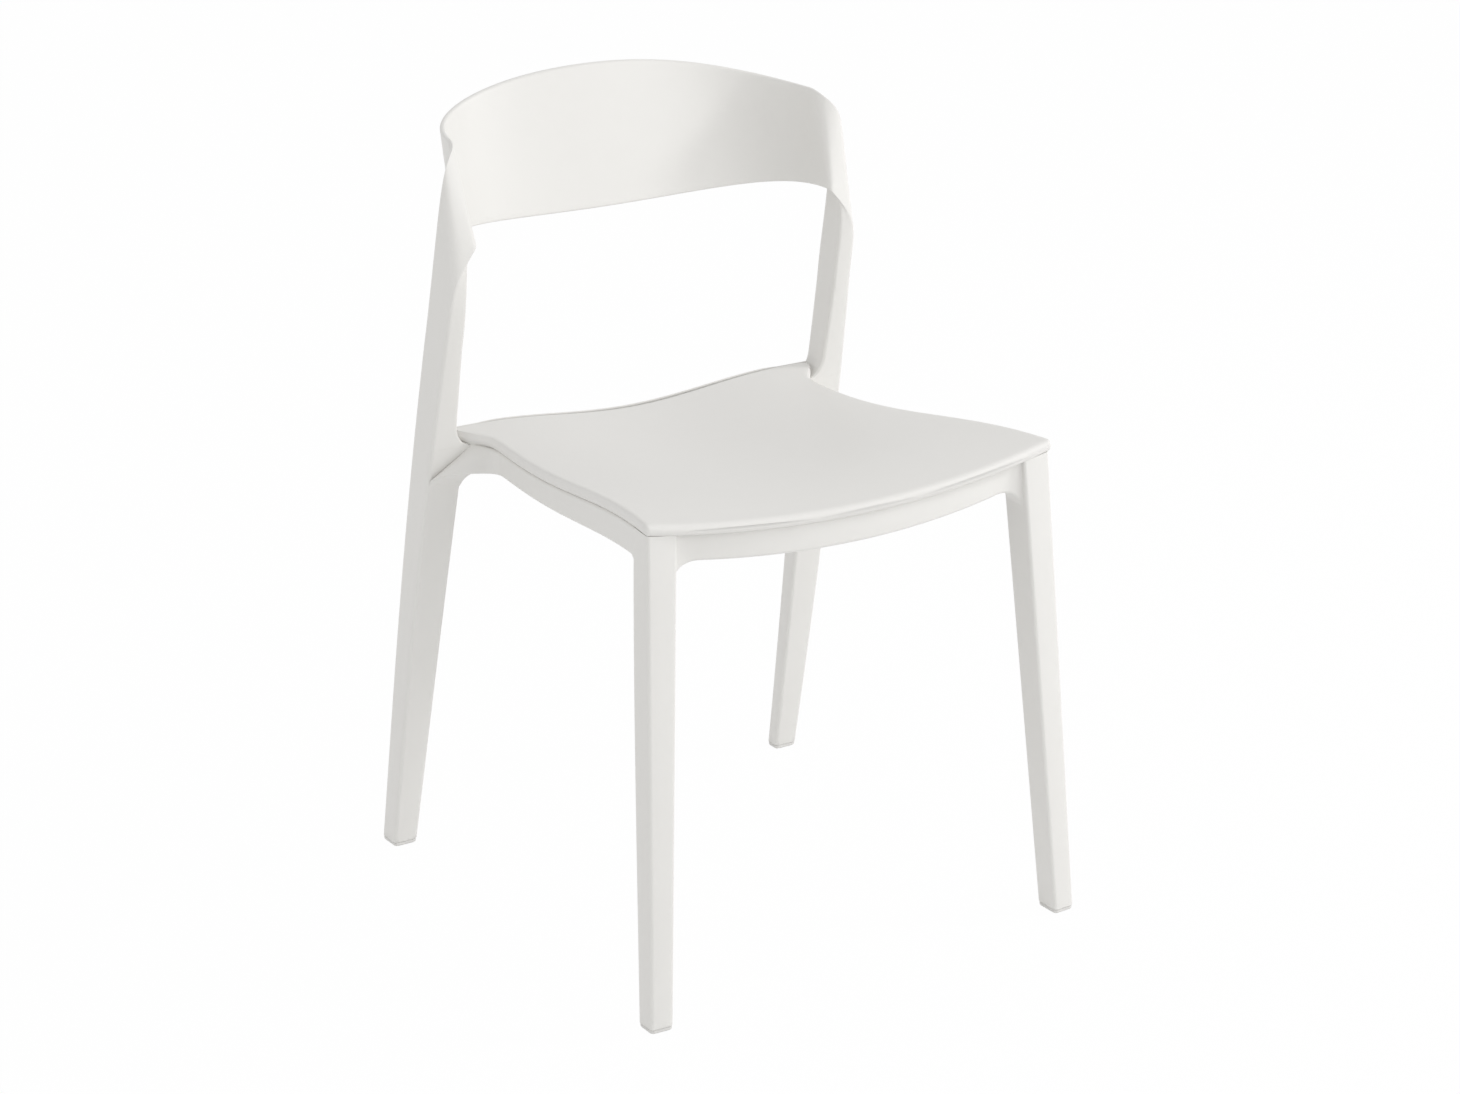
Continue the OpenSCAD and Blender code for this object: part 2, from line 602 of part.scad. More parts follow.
// Rings of the rounded nose at the front or rear edge
function nose_rings(at, turns) = [for (b = turns)
    seat_ring([at, nose_r * (1 - cos(b)), edge_h], nose_r * sin(b))];

// Boss that stands on a lug and takes a screw
module seat_boss(x, y) {
    low = lug_top(y) + face_fit;
    translate([x, y, low]) cylinder(d = boss_d, h = seat_z(x, y) - seat_t / 2 - low, $fn = 32);
}
module screw_bore(x, y) {
    translate([x, y, lug_top(y) - cut])
        cylinder(d = screw_d + 2 * screw_fit, h = screw_l - lug_t + 2 * cut, $fn = 32);
}

module seat_panel() {
    color(WHITE) difference() {
        union() {
            loft(concat(nose_rings(0, [15, 40, 65]), [for (row = rows) seat_ring(row, nose_r)],
                        nose_rings(1, [65, 40, 15])));
            for (side = [-1, 1], y = [-screw_front, screw_rear]) seat_boss(side * lug_x(y), y);
        }
        for (side = [-1, 1], y = [-screw_front, screw_rear]) screw_bore(side * lug_x(y), y);
    }
}

// ---------- glides ----------
glide_inset = 0.4;   // distance of a glide inside the foot's corners
glide_r = 2.5;       // rounding of its lower rim
function glide_ring(corners, at, z, inset) = rounded(
    [for (p = corners) let (in = unit([at[0] - p[0], at[1] - p[1]]) * sqrt(2) * inset)
        [p[0] + in[0], p[1] + in[1], z]], edge_r);
module glide(corners, at) {
    color(GLIDE_GREY) union() {
        loft(concat(
            [for (b = [0:30:90])
                glide_ring(corners, at, glide_r * (1 - cos(b)), glide_inset + glide_r * (1 - sin(b)))],
            [glide_ring(corners, at, glide_t, glide_inset)]));
        translate([at[0], at[1], glide_t - cut]) cylinder(d = stem_d, h = stem_l + cut, $fn = 32);
    }
}
front_foot_corners = [
    [front_outer_x(foot_z), front_edge_y(foot_z) + front_toe],
    [front_inner_x(foot_z), front_edge_y(foot_z)],
    [front_inner_x(foot_z), front_back_y(foot_z) + front_heel],
    [front_outer_x(foot_z), front_back_y(foot_z)]];
module front_glide() {
    glide(front_foot_corners, front_stem);
}
module rear_glide() {
    glide(rear_leg_corners(foot_z), rear_stem);
}

// ---------- seat screws ----------
module screw(x, y) {
    translate([x, y, lug_top(y) - lug_t - face_fit]) color(STEEL) union() {
        translate([0, 0, -head_h]) cylinder(d = head_d, h = head_h, $fn = 32);
        cylinder(d = screw_d, h = screw_l, $fn = 32);
    }
}
module seat_screws() {
    for (side = [-1, 1], y = [-screw_front, screw_rear]) screw(side * lug_x(y), y);
}

mirror([1, 0, 0]) front_leg();  // left_front_leg
front_leg();  // right_front_leg
mirror([1, 0, 0]) rear_leg();  // left_rear_leg
rear_leg();  // right_rear_leg
mirror([1, 0, 0]) side_rail();  // left_side_rail
side_rail();  // right_side_rail
front_rail();
rear_rail();
backrest_band();
seat_panel();
mirror([1, 0, 0]) front_glide();  // left_front_glide
front_glide();  // right_front_glide
mirror([1, 0, 0]) rear_glide();  // left_rear_glide
rear_glide();  // right_rear_glide
seat_screws();
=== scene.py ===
"""Stacking chair: the looks of the moulded frame, seat panel, glides and screws.

The chair stands on the floor with its front towards -Y, symmetric about X = 0, in metres.
The rear legs, shoulders and backrest band are one skin, as they are one moulding. Every
skin is a row of rounded four-cornered rings, and the seat panel is a sheet with a rounded
edge, a skirt and ribs underneath.
"""
import math

import bpy
import numpy as np
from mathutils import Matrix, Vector


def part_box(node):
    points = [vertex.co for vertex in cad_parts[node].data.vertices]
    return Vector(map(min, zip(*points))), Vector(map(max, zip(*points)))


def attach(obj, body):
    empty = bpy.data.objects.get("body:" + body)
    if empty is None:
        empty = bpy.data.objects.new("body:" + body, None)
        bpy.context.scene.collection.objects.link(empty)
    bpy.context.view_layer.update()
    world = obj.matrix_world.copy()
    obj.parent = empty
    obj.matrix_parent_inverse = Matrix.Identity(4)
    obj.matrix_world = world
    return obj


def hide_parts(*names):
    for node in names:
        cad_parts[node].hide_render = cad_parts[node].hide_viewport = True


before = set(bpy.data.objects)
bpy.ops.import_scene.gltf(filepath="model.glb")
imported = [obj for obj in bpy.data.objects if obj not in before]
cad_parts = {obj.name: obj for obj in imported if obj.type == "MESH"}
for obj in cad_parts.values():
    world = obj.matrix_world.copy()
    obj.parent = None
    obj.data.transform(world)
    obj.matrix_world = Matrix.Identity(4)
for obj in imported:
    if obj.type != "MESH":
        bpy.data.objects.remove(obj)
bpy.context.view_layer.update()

MM = 0.001

# ---------- sizes of the chair ----------
foot_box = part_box("right_front_leg")
band_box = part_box("backrest_band")
seat_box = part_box("seat_panel")

FOOT_Z = foot_box[0][2]                    # underside of the feet, on the glides
OVERALL_H = band_box[1][2]                 # top of the backrest at its middle
SEAT_H = seat_box[1][2]                    # front corners of the seat
SEAT_FRONT_W = seat_box[1][0] - seat_box[0][0]
FOOT_DEPTH = 499 * MM                      # between the planes of the feet, front to back
FOOT_SPAN = 474 * MM                       # over the rear feet
FRONT_FOOT_SPAN = 468 * MM

# ---------- seat panel ----------
SEAT_WAIST_W = 354 * MM
SEAT_REAR_W = 378 * MM
SEAT_SETBACK = 26 * MM                     # rear edge behind the front faces of the posts
CREST_RUN = 15 * MM                        # the sides' highest line, from the front edge
WAIST_RUN = 20 * MM                        # the narrowest line, in front of the posts
CORNER_RUN = 28 * MM                       # it widens to the rear corners over this length
CORNER_R = 4 * MM                          # rear corners seen from above
CORNER_POWER = 6                           # how late along the panel they draw in
LIP_BOW = 16 * MM                          # bow of the front edge
SEAT_DIP = 22 * MM                         # saddle dip from front to back
FRONT_HOLLOW = 15 * MM
REAR_HOLLOW = 12 * MM
SEAT_T = 6 * MM                            # the sheet
EDGE_T = 10 * MM                           # the rounded edge all round it
SHADOW_GAP = 1 * MM
EDGE_SAG = 0.8 * MM                        # the edge comes this far down into the gap
HIP_SAG = 5.5 * MM                         # and this much further beside the posts
SWELL_RUN = 14 * MM                        # the edge changes towards the posts over this
CORNER_SWELL = 8 * MM                      # the rear corners reach over the flares' feet
SKIRT_INSET = 1 * MM                       # skirt inside the rounded edge
RIB_T = 3 * MM
RIB_H = 10 * MM
RIB_PITCH = 85 * MM
DIP_PART = 0.74                            # the sides' lowest line, along the panel
WAIST_POWER = 1.35
BOWL_REACH = 1.12                          # the rear hollow gets level before the sides

# ---------- legs ----------
FRONT_FOOT = (22.5 * MM, 21.5 * MM)        # width and outer depth of the front leg's foot
FRONT_TOP = (30 * MM, 29 * MM)
FRONT_RAKE = 33.5 * MM                     # the foot stands this far forward of the top
FRONT_TOE = 1 * MM                         # inner front edge ahead of the outer one
FRONT_HEEL = 4.5 * MM                      # inner rear edge behind the outer one
TURN_IN_POWER = 4                          # how late the outer rear edge meets the seat's
POST_SPAN = 456 * MM                       # over the posts at seat height
SPLAY_POWER = 2.6
REAR_LEAN = math.tan(math.radians(11.6))
REAR_FOOT = (25 * MM, 26 * MM)             # width and outer depth of the rear leg's foot
HIP_W = 35 * MM
POST_W = 24 * MM
NECK_W = 19.5 * MM
POST_D = 38 * MM
DEPTH_POWER = 1.4
TAPER_POWER = 1.5
HEEL_SLANT = 10 * MM                       # inner rear edge ahead of the outer one
HIP_INSET = 5 * MM                         # the hip reaches this far in under the seat
HIP_FILLET = 20 * MM
HIP_STEPS = np.array([-1, -0.2, 0, 0.1, 1]) * MM   # rings about the top of the hip
FLARE_GAP = 0.5 * MM
FLARE_H = 21 * MM
EDGE_R = 3.2 * MM                          # rounding of the frame's long edges
FOOT_R = 1.2 * MM                          # rounding of the feet's lower rims
FOOT_STEP = 1.5 * MM                       # first plain ring over a rear foot
FRONT_STEP = 0.004                         # and over a front foot, as a part of the leg

# ---------- rails ----------
RAIL_W = 22 * MM
RAIL_H = 27 * MM
RAIL_REAR_H = 22 * MM
RAIL_INSET = 1.5 * MM                      # inside the panel's edge
RAIL_FILLET = 10 * MM
ARCH_L = 16 * MM
ARCH_DROP = 20 * MM
ARCH_OUTER_DROP = 13 * MM
ARCH_INSET = 1 * MM                        # the arch's foot stays inside the leg's sides
ARCH_R = 0.6 * MM                          # rounding of its edges where it meets the leg
ARCH_SOFT = (0.7, 0.15, 10)                # where the softening starts, its run and rounds
APRON_T = 18 * MM
APRON_H = 26.5 * MM
APRON_BOW = 3 * MM                         # bow beyond that of the panel's front edge
APRON_SETBACK = 9 * MM
APRON_FILLET = 20 * MM
APRON_SWEEP = 27 * MM
LEG_LINE = 2 * MM                          # behind the legs' front edges, where it meets them
REAR_RAIL_H = 24 * MM
BAR_FRONT = 6 * MM
LIP_LEAD = 1.5 * MM                        # the lip starts this far before the panel's edge
LIP_DROP = 2.4 * MM                        # below the panel at the posts
LIP_BELOW = 1.3 * MM                       # below the panel at the middle
LIP_RAMP = 24 * MM
LIP_R = 1.5 * MM
LIP_T = 2 * MM                             # its least height, and its run on into the post
LIP_SUNK = 1 * MM                          # it reaches this far into the flare
BURIED = 7 * MM                            # how far a rail's end runs on inside a leg

# ---------- backrest ----------
BAND_H = 130 * MM
BAND_T = 7 * MM
RIM_T = 5 * MM
RIM_PART = 0.45                            # a rim's rounding, as a part of its thickness
FOLD_PART = 0.95                           # thickness at the folds, as a part of the band's
BAND_DEPTH = 91 * MM
BAND_LEAN = math.tan(math.radians(17))
RIM_DROP = 31 * MM                         # the top rim is lower at the folds
LOW_RIM_RISE = 9 * MM                      # and the lower rim is higher there
BAND_SQUARE = 3.2                          # power of the band's curve seen from above
RIM_TURN, LOW_RIM_TURN = 79, 89.9          # degrees that the rims come round by
RIM_STEP = 0.01                            # to either side, to find a rim's direction
FOLD_INSET = 31 * MM
FOLD_SPLAY = 6 * MM
FOLD_SETBACK = 9.5 * MM
SHOULDER_H = 97 * MM
CREASE_BOW = 1.5 * MM
FOLD_SOFT = 9 * MM                         # the folds are softened over this length
FOLD_ROUNDS = 24                           # in so many rounds
FOLD_POINTS = [0, 20, 28, 49, 56]          # round a ring, the softening at these points
FOLD_PARTS = [0.35, 0.35, 1, 1, 0.35]      # is this much, and straight between them
NECK_INWARD = 0.05                         # slope by which the shoulders leave the posts
POST_PULLS = np.array([64, 50, 62, 150]) * MM
FOLD_PULLS = np.array([[31, -5, -36], [11, -12, -14], [8, -24, -29], [30, -22, -23]]) * MM

# ---------- glides and screws ----------
GLIDE_INSET = 0.4 * MM
GLIDE_R = 2.5 * MM
BOSS_D = 12 * MM
BOSS_EDGE = 0.5 * MM
BOSS_ROOT = (1.5 * MM, 6 * MM, 3 * MM)     # how much wider its root is, and its two heights
FACE_FIT = 0.2 * MM                        # clearance between flat faces
LUG_T = 5 * MM
LUG_R = 9 * MM
LUG_DROP = 6 * MM
LUG_BORE = 4.6 * MM
SCREW_HEAD_D = 8 * MM
SCREW_HEAD_H = 2.5 * MM
SCREW_DOME_R = 1.4 * MM
SCREW_DOME_START = 0.35                    # radians, where the dome leaves the lower face
SOCKET_R = 1.3 * MM                        # half the width across its flats
SOCKET_DEPTH = 1.3 * MM
SOCKET_FLOOR_R = 0.05 * MM
SOCKET_BEVEL = 0.2 * MM
SHANK_R, SHANK_TIP_R = 2 * MM, 1.6 * MM
SHANK_L, SHANK_TIP_L = 13.5 * MM, 14 * MM
SOCKET_FILLET, SOCKET_FLOOR = 0.1 * MM, 0.98
HEAD_BEVEL = 0.1 * MM
SCREW_PLACES = (-120 * MM, 60 * MM)        # front and rear screws, in depth


# ---------- small maths ----------
TINY = 1e-12


def mix(a, b, t):
    """Straight blend: a where t is 0, b where t is 1."""
    return a + (b - a) * t


def smooth(t):
    """Ease from 0 to 1: 3 t squared minus 2 t cubed, level at both ends."""
    t = np.clip(t, 0, 1)
    return t * t * (3 - 2 * t)


def quarter(v):
    """Quarter round: 1 minus the root of 1 minus v squared, level at 0 and upright at 1."""
    return 1 - np.sqrt(1 - np.clip(v, 0, 1) ** 2)


def points(x, y, z):
    """Points with these coordinates, as an array whose last axis is x, y, z."""
    return np.stack(np.broadcast_arrays(x, y, z), axis=-1).astype(float)


def unit(v):
    """Vectors divided by their length."""
    return v / np.maximum(np.linalg.norm(v, axis=-1, keepdims=True), TINY)


def eased(start, end, count):
    """Values from start to end that crowd together at both, spaced by a cosine."""
    return mix(start, end, (1 - np.cos(np.linspace(0, math.pi, count))) / 2)


def mirrored(points_list):
    """The same points on the other side of the chair: x changes its sign."""
    return points_list * np.array([-1.0, 1.0, 1.0])


# ---------- meshes ----------
ARC_REACH = 0.45                           # a corner takes up this part of a side at most


def rounded(corners, radius, crown=0.25 * MM, arc=7, flat=7):
    """Rings through rows of four corners, as an array of rows, ring points and x, y, z.

    Each corner is a conic arc between the points a radius away from it on both sides, and
    each side swells outwards by the crown times 4 t (1 - t)."""
    radius = np.broadcast_to(np.asarray(radius, float), corners.shape[:1])[:, None, None]
    before = np.roll(corners, 1, axis=1) - corners
    after = np.roll(corners, -1, axis=1) - corners
    reach_before = np.minimum(radius, ARC_REACH * np.linalg.norm(before, axis=-1, keepdims=True))
    reach_after = np.minimum(radius, ARC_REACH * np.linalg.norm(after, axis=-1, keepdims=True))
    start = corners + unit(before) * reach_before
    end = corners + unit(after) * reach_after
    t = np.linspace(0, 1, arc)[:, None]
    a, b, c = (1 - t) ** 2, math.sqrt(2) * t * (1 - t), t ** 2
    arcs = (a * start[:, :, None] + b * corners[:, :, None] + c * end[:, :, None]) / (a + b + c)
    t = eased(0, 1, flat + 2)[1:-1, None]
    following = np.roll(start, -1, axis=1)
    across = np.cross(corners[:, 2] - corners[:, 0], corners[:, 3] - corners[:, 1])[:, None]
    outward = unit(np.cross(after, across))
    middle = corners.mean(axis=1, keepdims=True)
    facing = (((end + following) / 2 - middle) * outward).sum(-1, keepdims=True)
    outward *= np.sign(facing)
    flats = mix(end[:, :, None], following[:, :, None], t) \
        + outward[:, :, None] * (crown * 4 * t * (1 - t))
    return np.concatenate([arcs, flats], axis=2).reshape(len(corners), -1, 3)


def softened(rings, part, rounds):
    """Rings eased along the skin, so many rounds over: each point moves by its part of the
    way towards the middle of the same points on the rings before and after it."""
    rings = rings.copy()
    for _ in range(rounds):
        rings[1:-1] += part[1:-1, :, None] * ((rings[:-2] + rings[2:]) / 2 - rings[1:-1])
    return rings


def grid_faces(rows, ring):
    """Four-sided faces between each ring and the next, all the way round."""
    i, j = np.meshgrid(np.arange(rows - 1), np.arange(ring), indexing="ij")
    k = (j + 1) % ring
    return np.stack([i * ring + j, (i + 1) * ring + j, (i + 1) * ring + k, i * ring + k], -1)


def volume(vertices, faces):
    """Six times the volume inside the faces, each taken as two triangles from the origin."""
    a, b, c, d = (vertices[faces[:, k]] for k in range(4))
    return (np.cross(a, b) * c).sum() + (np.cross(a, c) * d).sum()


class Skin:
    """A mesh in the making: shells of rings, joined in one piece."""

    def __init__(self):
        self.vertices, self.faces, self.count = [], [], 0

    def shell(self, rings, hoop=False):
        """A shell through rows of rings, closed by a flat end on each side, or into a hoop."""
        rows, ring = rings.shape[:2]
        vertices = rings.reshape(-1, 3)
        if hoop:
            faces = grid_faces(rows + 1, ring).reshape(-1, 4) % len(vertices)
        else:
            faces = grid_faces(rows, ring).reshape(-1, 4)
        last = (rows - 1) * ring
        ends = [] if hoop else [np.arange(ring), last + np.arange(ring)[::-1]]
        if volume(vertices - vertices.mean(axis=0), faces) < 0:
            faces = faces[:, ::-1]
            ends = [end[::-1] for end in ends]
        self.faces += (faces + self.count).tolist() + [(end + self.count).tolist() for end in ends]
        self.vertices.append(vertices)
        self.count += len(vertices)
        return self

    def piece(self, name, slot, paint, *nodes, sharp=38):
        """Makes the object: smooth over every edge that turns less than the sharp angle."""
        mesh = bpy.data.meshes.new(name)
        mesh.from_pydata(np.concatenate(self.vertices), [], self.faces)
        mesh.polygons.foreach_set("use_smooth", np.ones(len(mesh.polygons), bool))
        mesh.set_sharp_from_angle(angle=math.radians(sharp))
        mesh.materials.append(paint)
        thing = bpy.data.objects.new(name, mesh)
        bpy.context.collection.objects.link(thing)
        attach(thing, "root")
        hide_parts(*nodes)
        return thing


# ---------- planes of the legs ----------
FRONT_TOP_Z = SEAT_H - EDGE_T - SHADOW_GAP
FRONT_TOP_X = SEAT_FRONT_W / 2 - 2 * RAIL_INSET


def front_edge_y(z):
    """Front plane of the front leg, which goes back with height by the rake."""
    return -FOOT_DEPTH / 2 + FRONT_RAKE * z / FRONT_TOP_Z


def front_back_y(z):
    """Rear plane of the front leg, behind the front one by the toe and a depth that grows
    evenly with height."""
    return front_edge_y(z) + FRONT_TOE + mix(FRONT_FOOT[1], FRONT_TOP[1], z / FRONT_TOP_Z)


def front_outer_x(z):
    """Outer side of the front leg, straight from the foot to the top."""
    return mix(FRONT_FOOT_SPAN / 2, FRONT_TOP_X, z / FRONT_TOP_Z)


def front_inner_x(z):
    """Inner side: the outer one less a width that grows evenly with height."""
    return front_outer_x(z) - mix(FRONT_FOOT[0], FRONT_TOP[0], z / FRONT_TOP_Z)


def post_front_y(z):
    """Front plane of the rear leg and post, which comes forward with height by its slope."""
    return FOOT_DEPTH / 2 - REAR_FOOT[1] - z * REAR_LEAN


def rear_outer_x(z):
    """Outer side of the rear leg: from foot to seat by a power of the height."""
    return mix(FOOT_SPAN, POST_SPAN, (z / SEAT_H) ** SPLAY_POWER) / 2


def rear_depth(z):
    """Depth of the rear leg's outer side, by another power of the height."""
    return mix(REAR_FOOT[1], POST_D, (z / SEAT_H) ** DEPTH_POWER)


# ---------- seat surface ----------
SEAT_FRONT_Y = front_edge_y(FRONT_TOP_Z) + FRONT_TOE - RAIL_INSET
SEAT_REAR_Y = post_front_y(SEAT_H) + SEAT_SETBACK
SEAT_L = SEAT_REAR_Y - SEAT_FRONT_Y
HIP_Y = post_front_y(SEAT_H)
CREST_Y = SEAT_FRONT_Y + CREST_RUN
DIP_Y = SEAT_FRONT_Y + DIP_PART * SEAT_L
WAIST_Y = HIP_Y - WAIST_RUN


def seat_half(y):
    """Half width of the panel: it narrows from the front corners to a waist, by a power of
    the distance from it, and widens again to the rear corners."""
    front = np.maximum(0, WAIST_Y - y) / (WAIST_Y - SEAT_FRONT_Y)
    return (SEAT_WAIST_W + (SEAT_FRONT_W - SEAT_WAIST_W) * front ** WAIST_POWER
            + (SEAT_REAR_W - SEAT_WAIST_W) * smooth((y - WAIST_Y) / CORNER_RUN)) / 2


def near_posts(y, lead=0):
    """Eases from 0 to 1 over the swell's run. It starts at the posts' front faces, or the
    lead times the run before them."""
    return smooth((y - HIP_Y) / SWELL_RUN + lead)


def panel_half(y):
    """Half width of the panel with its rear corners swelled out beside the posts, so that
    they cover the hollow there."""
    return seat_half(y) + CORNER_SWELL * near_posts(y)


def seat_side_z(y):
    """Height of the panel's sides: a cosine wave from the crest down to the dip."""
    return SEAT_H - SEAT_DIP / 2 * (1 - np.cos(np.pi * (y - CREST_Y) / (DIP_Y - CREST_Y)))


def seat_z(x, y):
    """Top of the panel: a cosine wave from front to back along the sides, less a hollow
    across that goes from a parabola at the front to a cosine at the rear."""
    v = np.clip((y - SEAT_FRONT_Y) / SEAT_L, 0, 1)
    u = np.minimum(1, np.abs(x / seat_half(y)))
    bowl = mix(1 - u * u, (1 + np.cos(np.pi * np.minimum(1, BOWL_REACH * u))) / 2, v)
    return seat_side_z(y) - mix(FRONT_HOLLOW, REAR_HOLLOW, v) * bowl


def frame_z(x, y):
    """Top of the frame: the panel's top less its edge and the gap."""
    return seat_z(x, y) - EDGE_T - SHADOW_GAP


# ---------- rear frame: legs, posts, shoulders and band in one skin ----------
HIP_X = SEAT_WAIST_W / 2 - HIP_INSET
HIP_TOP = float(frame_z(HIP_X, HIP_Y))
HIP_BOTTOM = HIP_TOP - REAR_RAIL_H
FLARE_X = SEAT_REAR_W / 2 + FLARE_GAP
FLARE_FOOT = float(seat_z(FLARE_X, HIP_Y)) - EDGE_T
NECK_Z = OVERALL_H - BAND_H + LOW_RIM_RISE - SHOULDER_H
LOW_RIM_Z = OVERALL_H - BAND_H + LOW_RIM_RISE
RIM_Z = OVERALL_H - RIM_DROP
FOLD_X = POST_SPAN / 2 - FOLD_INSET
FOLD_LOW = np.array([FOLD_X - FOLD_SPLAY, post_front_y(LOW_RIM_Z) + FOLD_SETBACK, LOW_RIM_Z])
FOLD_TOP = np.array([FOLD_X, FOLD_LOW[1] + (RIM_Z - LOW_RIM_Z) * BAND_LEAN + CREASE_BOW, RIM_Z])
FOLD_BACK_LOW = FOLD_LOW + FOLD_PART * BAND_T * np.array([1, 1, 0])
FOLD_BACK_TOP = FOLD_TOP + FOLD_PART * RIM_T * np.array([1, 1, -1])
BAND_BACK_Y = FOLD_LOW[1] + BAND_DEPTH
RIM_R = RIM_PART * RIM_T


def rear_width(z):
    """Width of the rear leg: under the hip it narrows to the foot by a power of the height,
    and over the seat it narrows evenly."""
    under = mix(HIP_W, REAR_FOOT[0],
                np.maximum(0, 1 - z / (HIP_BOTTOM - HIP_FILLET)) ** TAPER_POWER)
    over = mix(POST_W, NECK_W, (z - SEAT_H) / (NECK_Z - SEAT_H))
    return np.where(z < HIP_BOTTOM, under, over)


def rear_inner_x(z):
    """Inner side of the leg: a quarter round under the hip, the hip, then a quarter round
    from the seat's rear corner up the post."""
    x = rear_outer_x(z) - rear_width(z)
    under = mix(x, HIP_X, quarter((z - HIP_BOTTOM + HIP_FILLET) / HIP_FILLET))
    flare = mix(x, FLARE_X, quarter((FLARE_FOOT + FLARE_H - z) / FLARE_H))
    return np.select([z < HIP_BOTTOM, z <= HIP_TOP, z < FLARE_FOOT], [under, HIP_X, FLARE_X], flare)


def rear_leg_corners(z):
    """Level sections: outer front, inner front, inner rear and outer rear corner."""
    y, depth = post_front_y(z), rear_depth(z)
    outer, inner = rear_outer_x(z), rear_inner_x(z)
    return np.stack([points(outer, y, z), points(inner, y, z),
                     points(inner, y + depth - HEEL_SLANT, z), points(outer, y + depth, z)], 1)


def shoulder_corners(t):
    """Four Bezier edges from the post's corners to the fold's, at t from 0 to 1."""
    neck = rear_leg_corners(np.array([NECK_Z]))[0]
    fold = np.stack([FOLD_LOW, FOLD_BACK_LOW, FOLD_BACK_TOP, FOLD_TOP])
    leave = neck + POST_PULLS[:, None] * np.array([-NECK_INWARD, -REAR_LEAN, 1])
    arrive = fold + FOLD_PULLS
    t = t[:, None, None]
    return ((1 - t) ** 3 * neck + 3 * (1 - t) ** 2 * t * leave
            + 3 * (1 - t) * t ** 2 * arrive + t ** 3 * fold)


def rim(s, turn, fold, back_y, middle_z):
    """A rim of the band seen from above: a Lame curve that has come round by its turn where
    it reaches the fold, with a height that rises or falls as the square of x."""
    a = np.radians(turn * np.abs(s))
    power = 2 / BAND_SQUARE
    end = math.radians(turn)
    u = np.sin(a) ** power / math.sin(end) ** power
    w = (1 - np.maximum(np.cos(a), 0) ** power) / (1 - max(math.cos(end), 0) ** power)
    return points(np.sign(s) * u * fold[0], mix(back_y, fold[1], w), mix(middle_z, fold[2], u * u))


def low_rim(s):
    """The lower rim, at s from -1 on the left to 1 on the right."""
    return rim(s, LOW_RIM_TURN, FOLD_LOW, BAND_BACK_Y, OVERALL_H - BAND_H)


def top_rim(s):
    """The top rim, at s as for the lower one."""
    return rim(s, RIM_TURN, FOLD_TOP, BAND_BACK_Y + BAND_H * BAND_LEAN, OVERALL_H)


def band_corners(s):
    """The two rims and, a thickness behind them along the level square of the lower rim,
    their rear edges."""
    run = low_rim(np.minimum(1, s + RIM_STEP)) - low_rim(np.maximum(-1, s - RIM_STEP))
    back = unit(points(-run[:, 1], run[:, 0], 0 * s))
    front_low, front_top = low_rim(s), top_rim(s)
    return np.stack([front_low, front_low + BAND_T * back,
                     front_top + RIM_T * back, front_top], 1)


def foot_rings(corners_at, z, radius):
    """Rings that round the rim of a foot's underside: drawn in by r (1 - sin b) at a height
    of r (1 - cos b)."""
    b = np.linspace(0, math.pi / 2, 5)[:, None, None]
    corners = np.repeat(corners_at(np.array([z])), 5, axis=0)
    middle = corners.mean(axis=1, keepdims=True)
    drawn = corners + unit(middle - corners) * FOOT_R * (1 - np.sin(b)) * math.sqrt(2)
    drawn[:, :, 2] = z + FOOT_R * (1 - np.cos(b[:, :, 0]))
    return rounded(drawn, radius, crown=0)


def rear_frame():
    """One skin from the right foot over both shoulders and the band to the left foot. Rings
    within twice the folds' length of a fold are softened, most within once."""
    up_leg = np.concatenate([
        np.linspace(FOOT_Z + FOOT_STEP, HIP_BOTTOM - HIP_FILLET, 60),
        HIP_BOTTOM - HIP_FILLET * (1 - np.sin(np.linspace(0, math.pi / 2, 18)[1:])),
        HIP_TOP + HIP_STEPS,
        FLARE_FOOT + FLARE_H * (1 - np.cos(np.linspace(0, math.pi / 2, 22))),
        np.linspace(FLARE_FOOT + FLARE_H, NECK_Z, 16)[1:]])
    t = np.linspace(0, 1, 90)[1:-1]
    leg = np.concatenate([
        foot_rings(rear_leg_corners, FOOT_Z, EDGE_R),
        rounded(rear_leg_corners(up_leg), EDGE_R),
        rounded(shoulder_corners(t), mix(EDGE_R, RIM_R, t))])
    s = np.linspace(1, -1, 281)
    corners = band_corners(s)
    corners[0] = shoulder_corners(np.array([1.0]))[0]
    corners[-1] = mirrored(corners[0])
    band = rounded(corners, RIM_R, crown=0)
    rings = np.concatenate([leg, band, mirrored(leg[::-1])])
    middle = rings.mean(axis=1)
    folds = np.array([FOLD_LOW + FOLD_TOP, mirrored(FOLD_LOW + FOLD_TOP)]) / 2
    away = np.linalg.norm(middle[:, None] - folds, axis=-1).min(axis=1)
    part = smooth(2 - away / FOLD_SOFT)[:, None] * np.interp(
        np.arange(rings.shape[1]), FOLD_POINTS, FOLD_PARTS)
    rings = softened(rings, part, FOLD_ROUNDS)
    Skin().shell(rings).piece("rear_frame", "frame_plastic", frame_plastic,
                              "left_rear_leg", "right_rear_leg", "backrest_band")


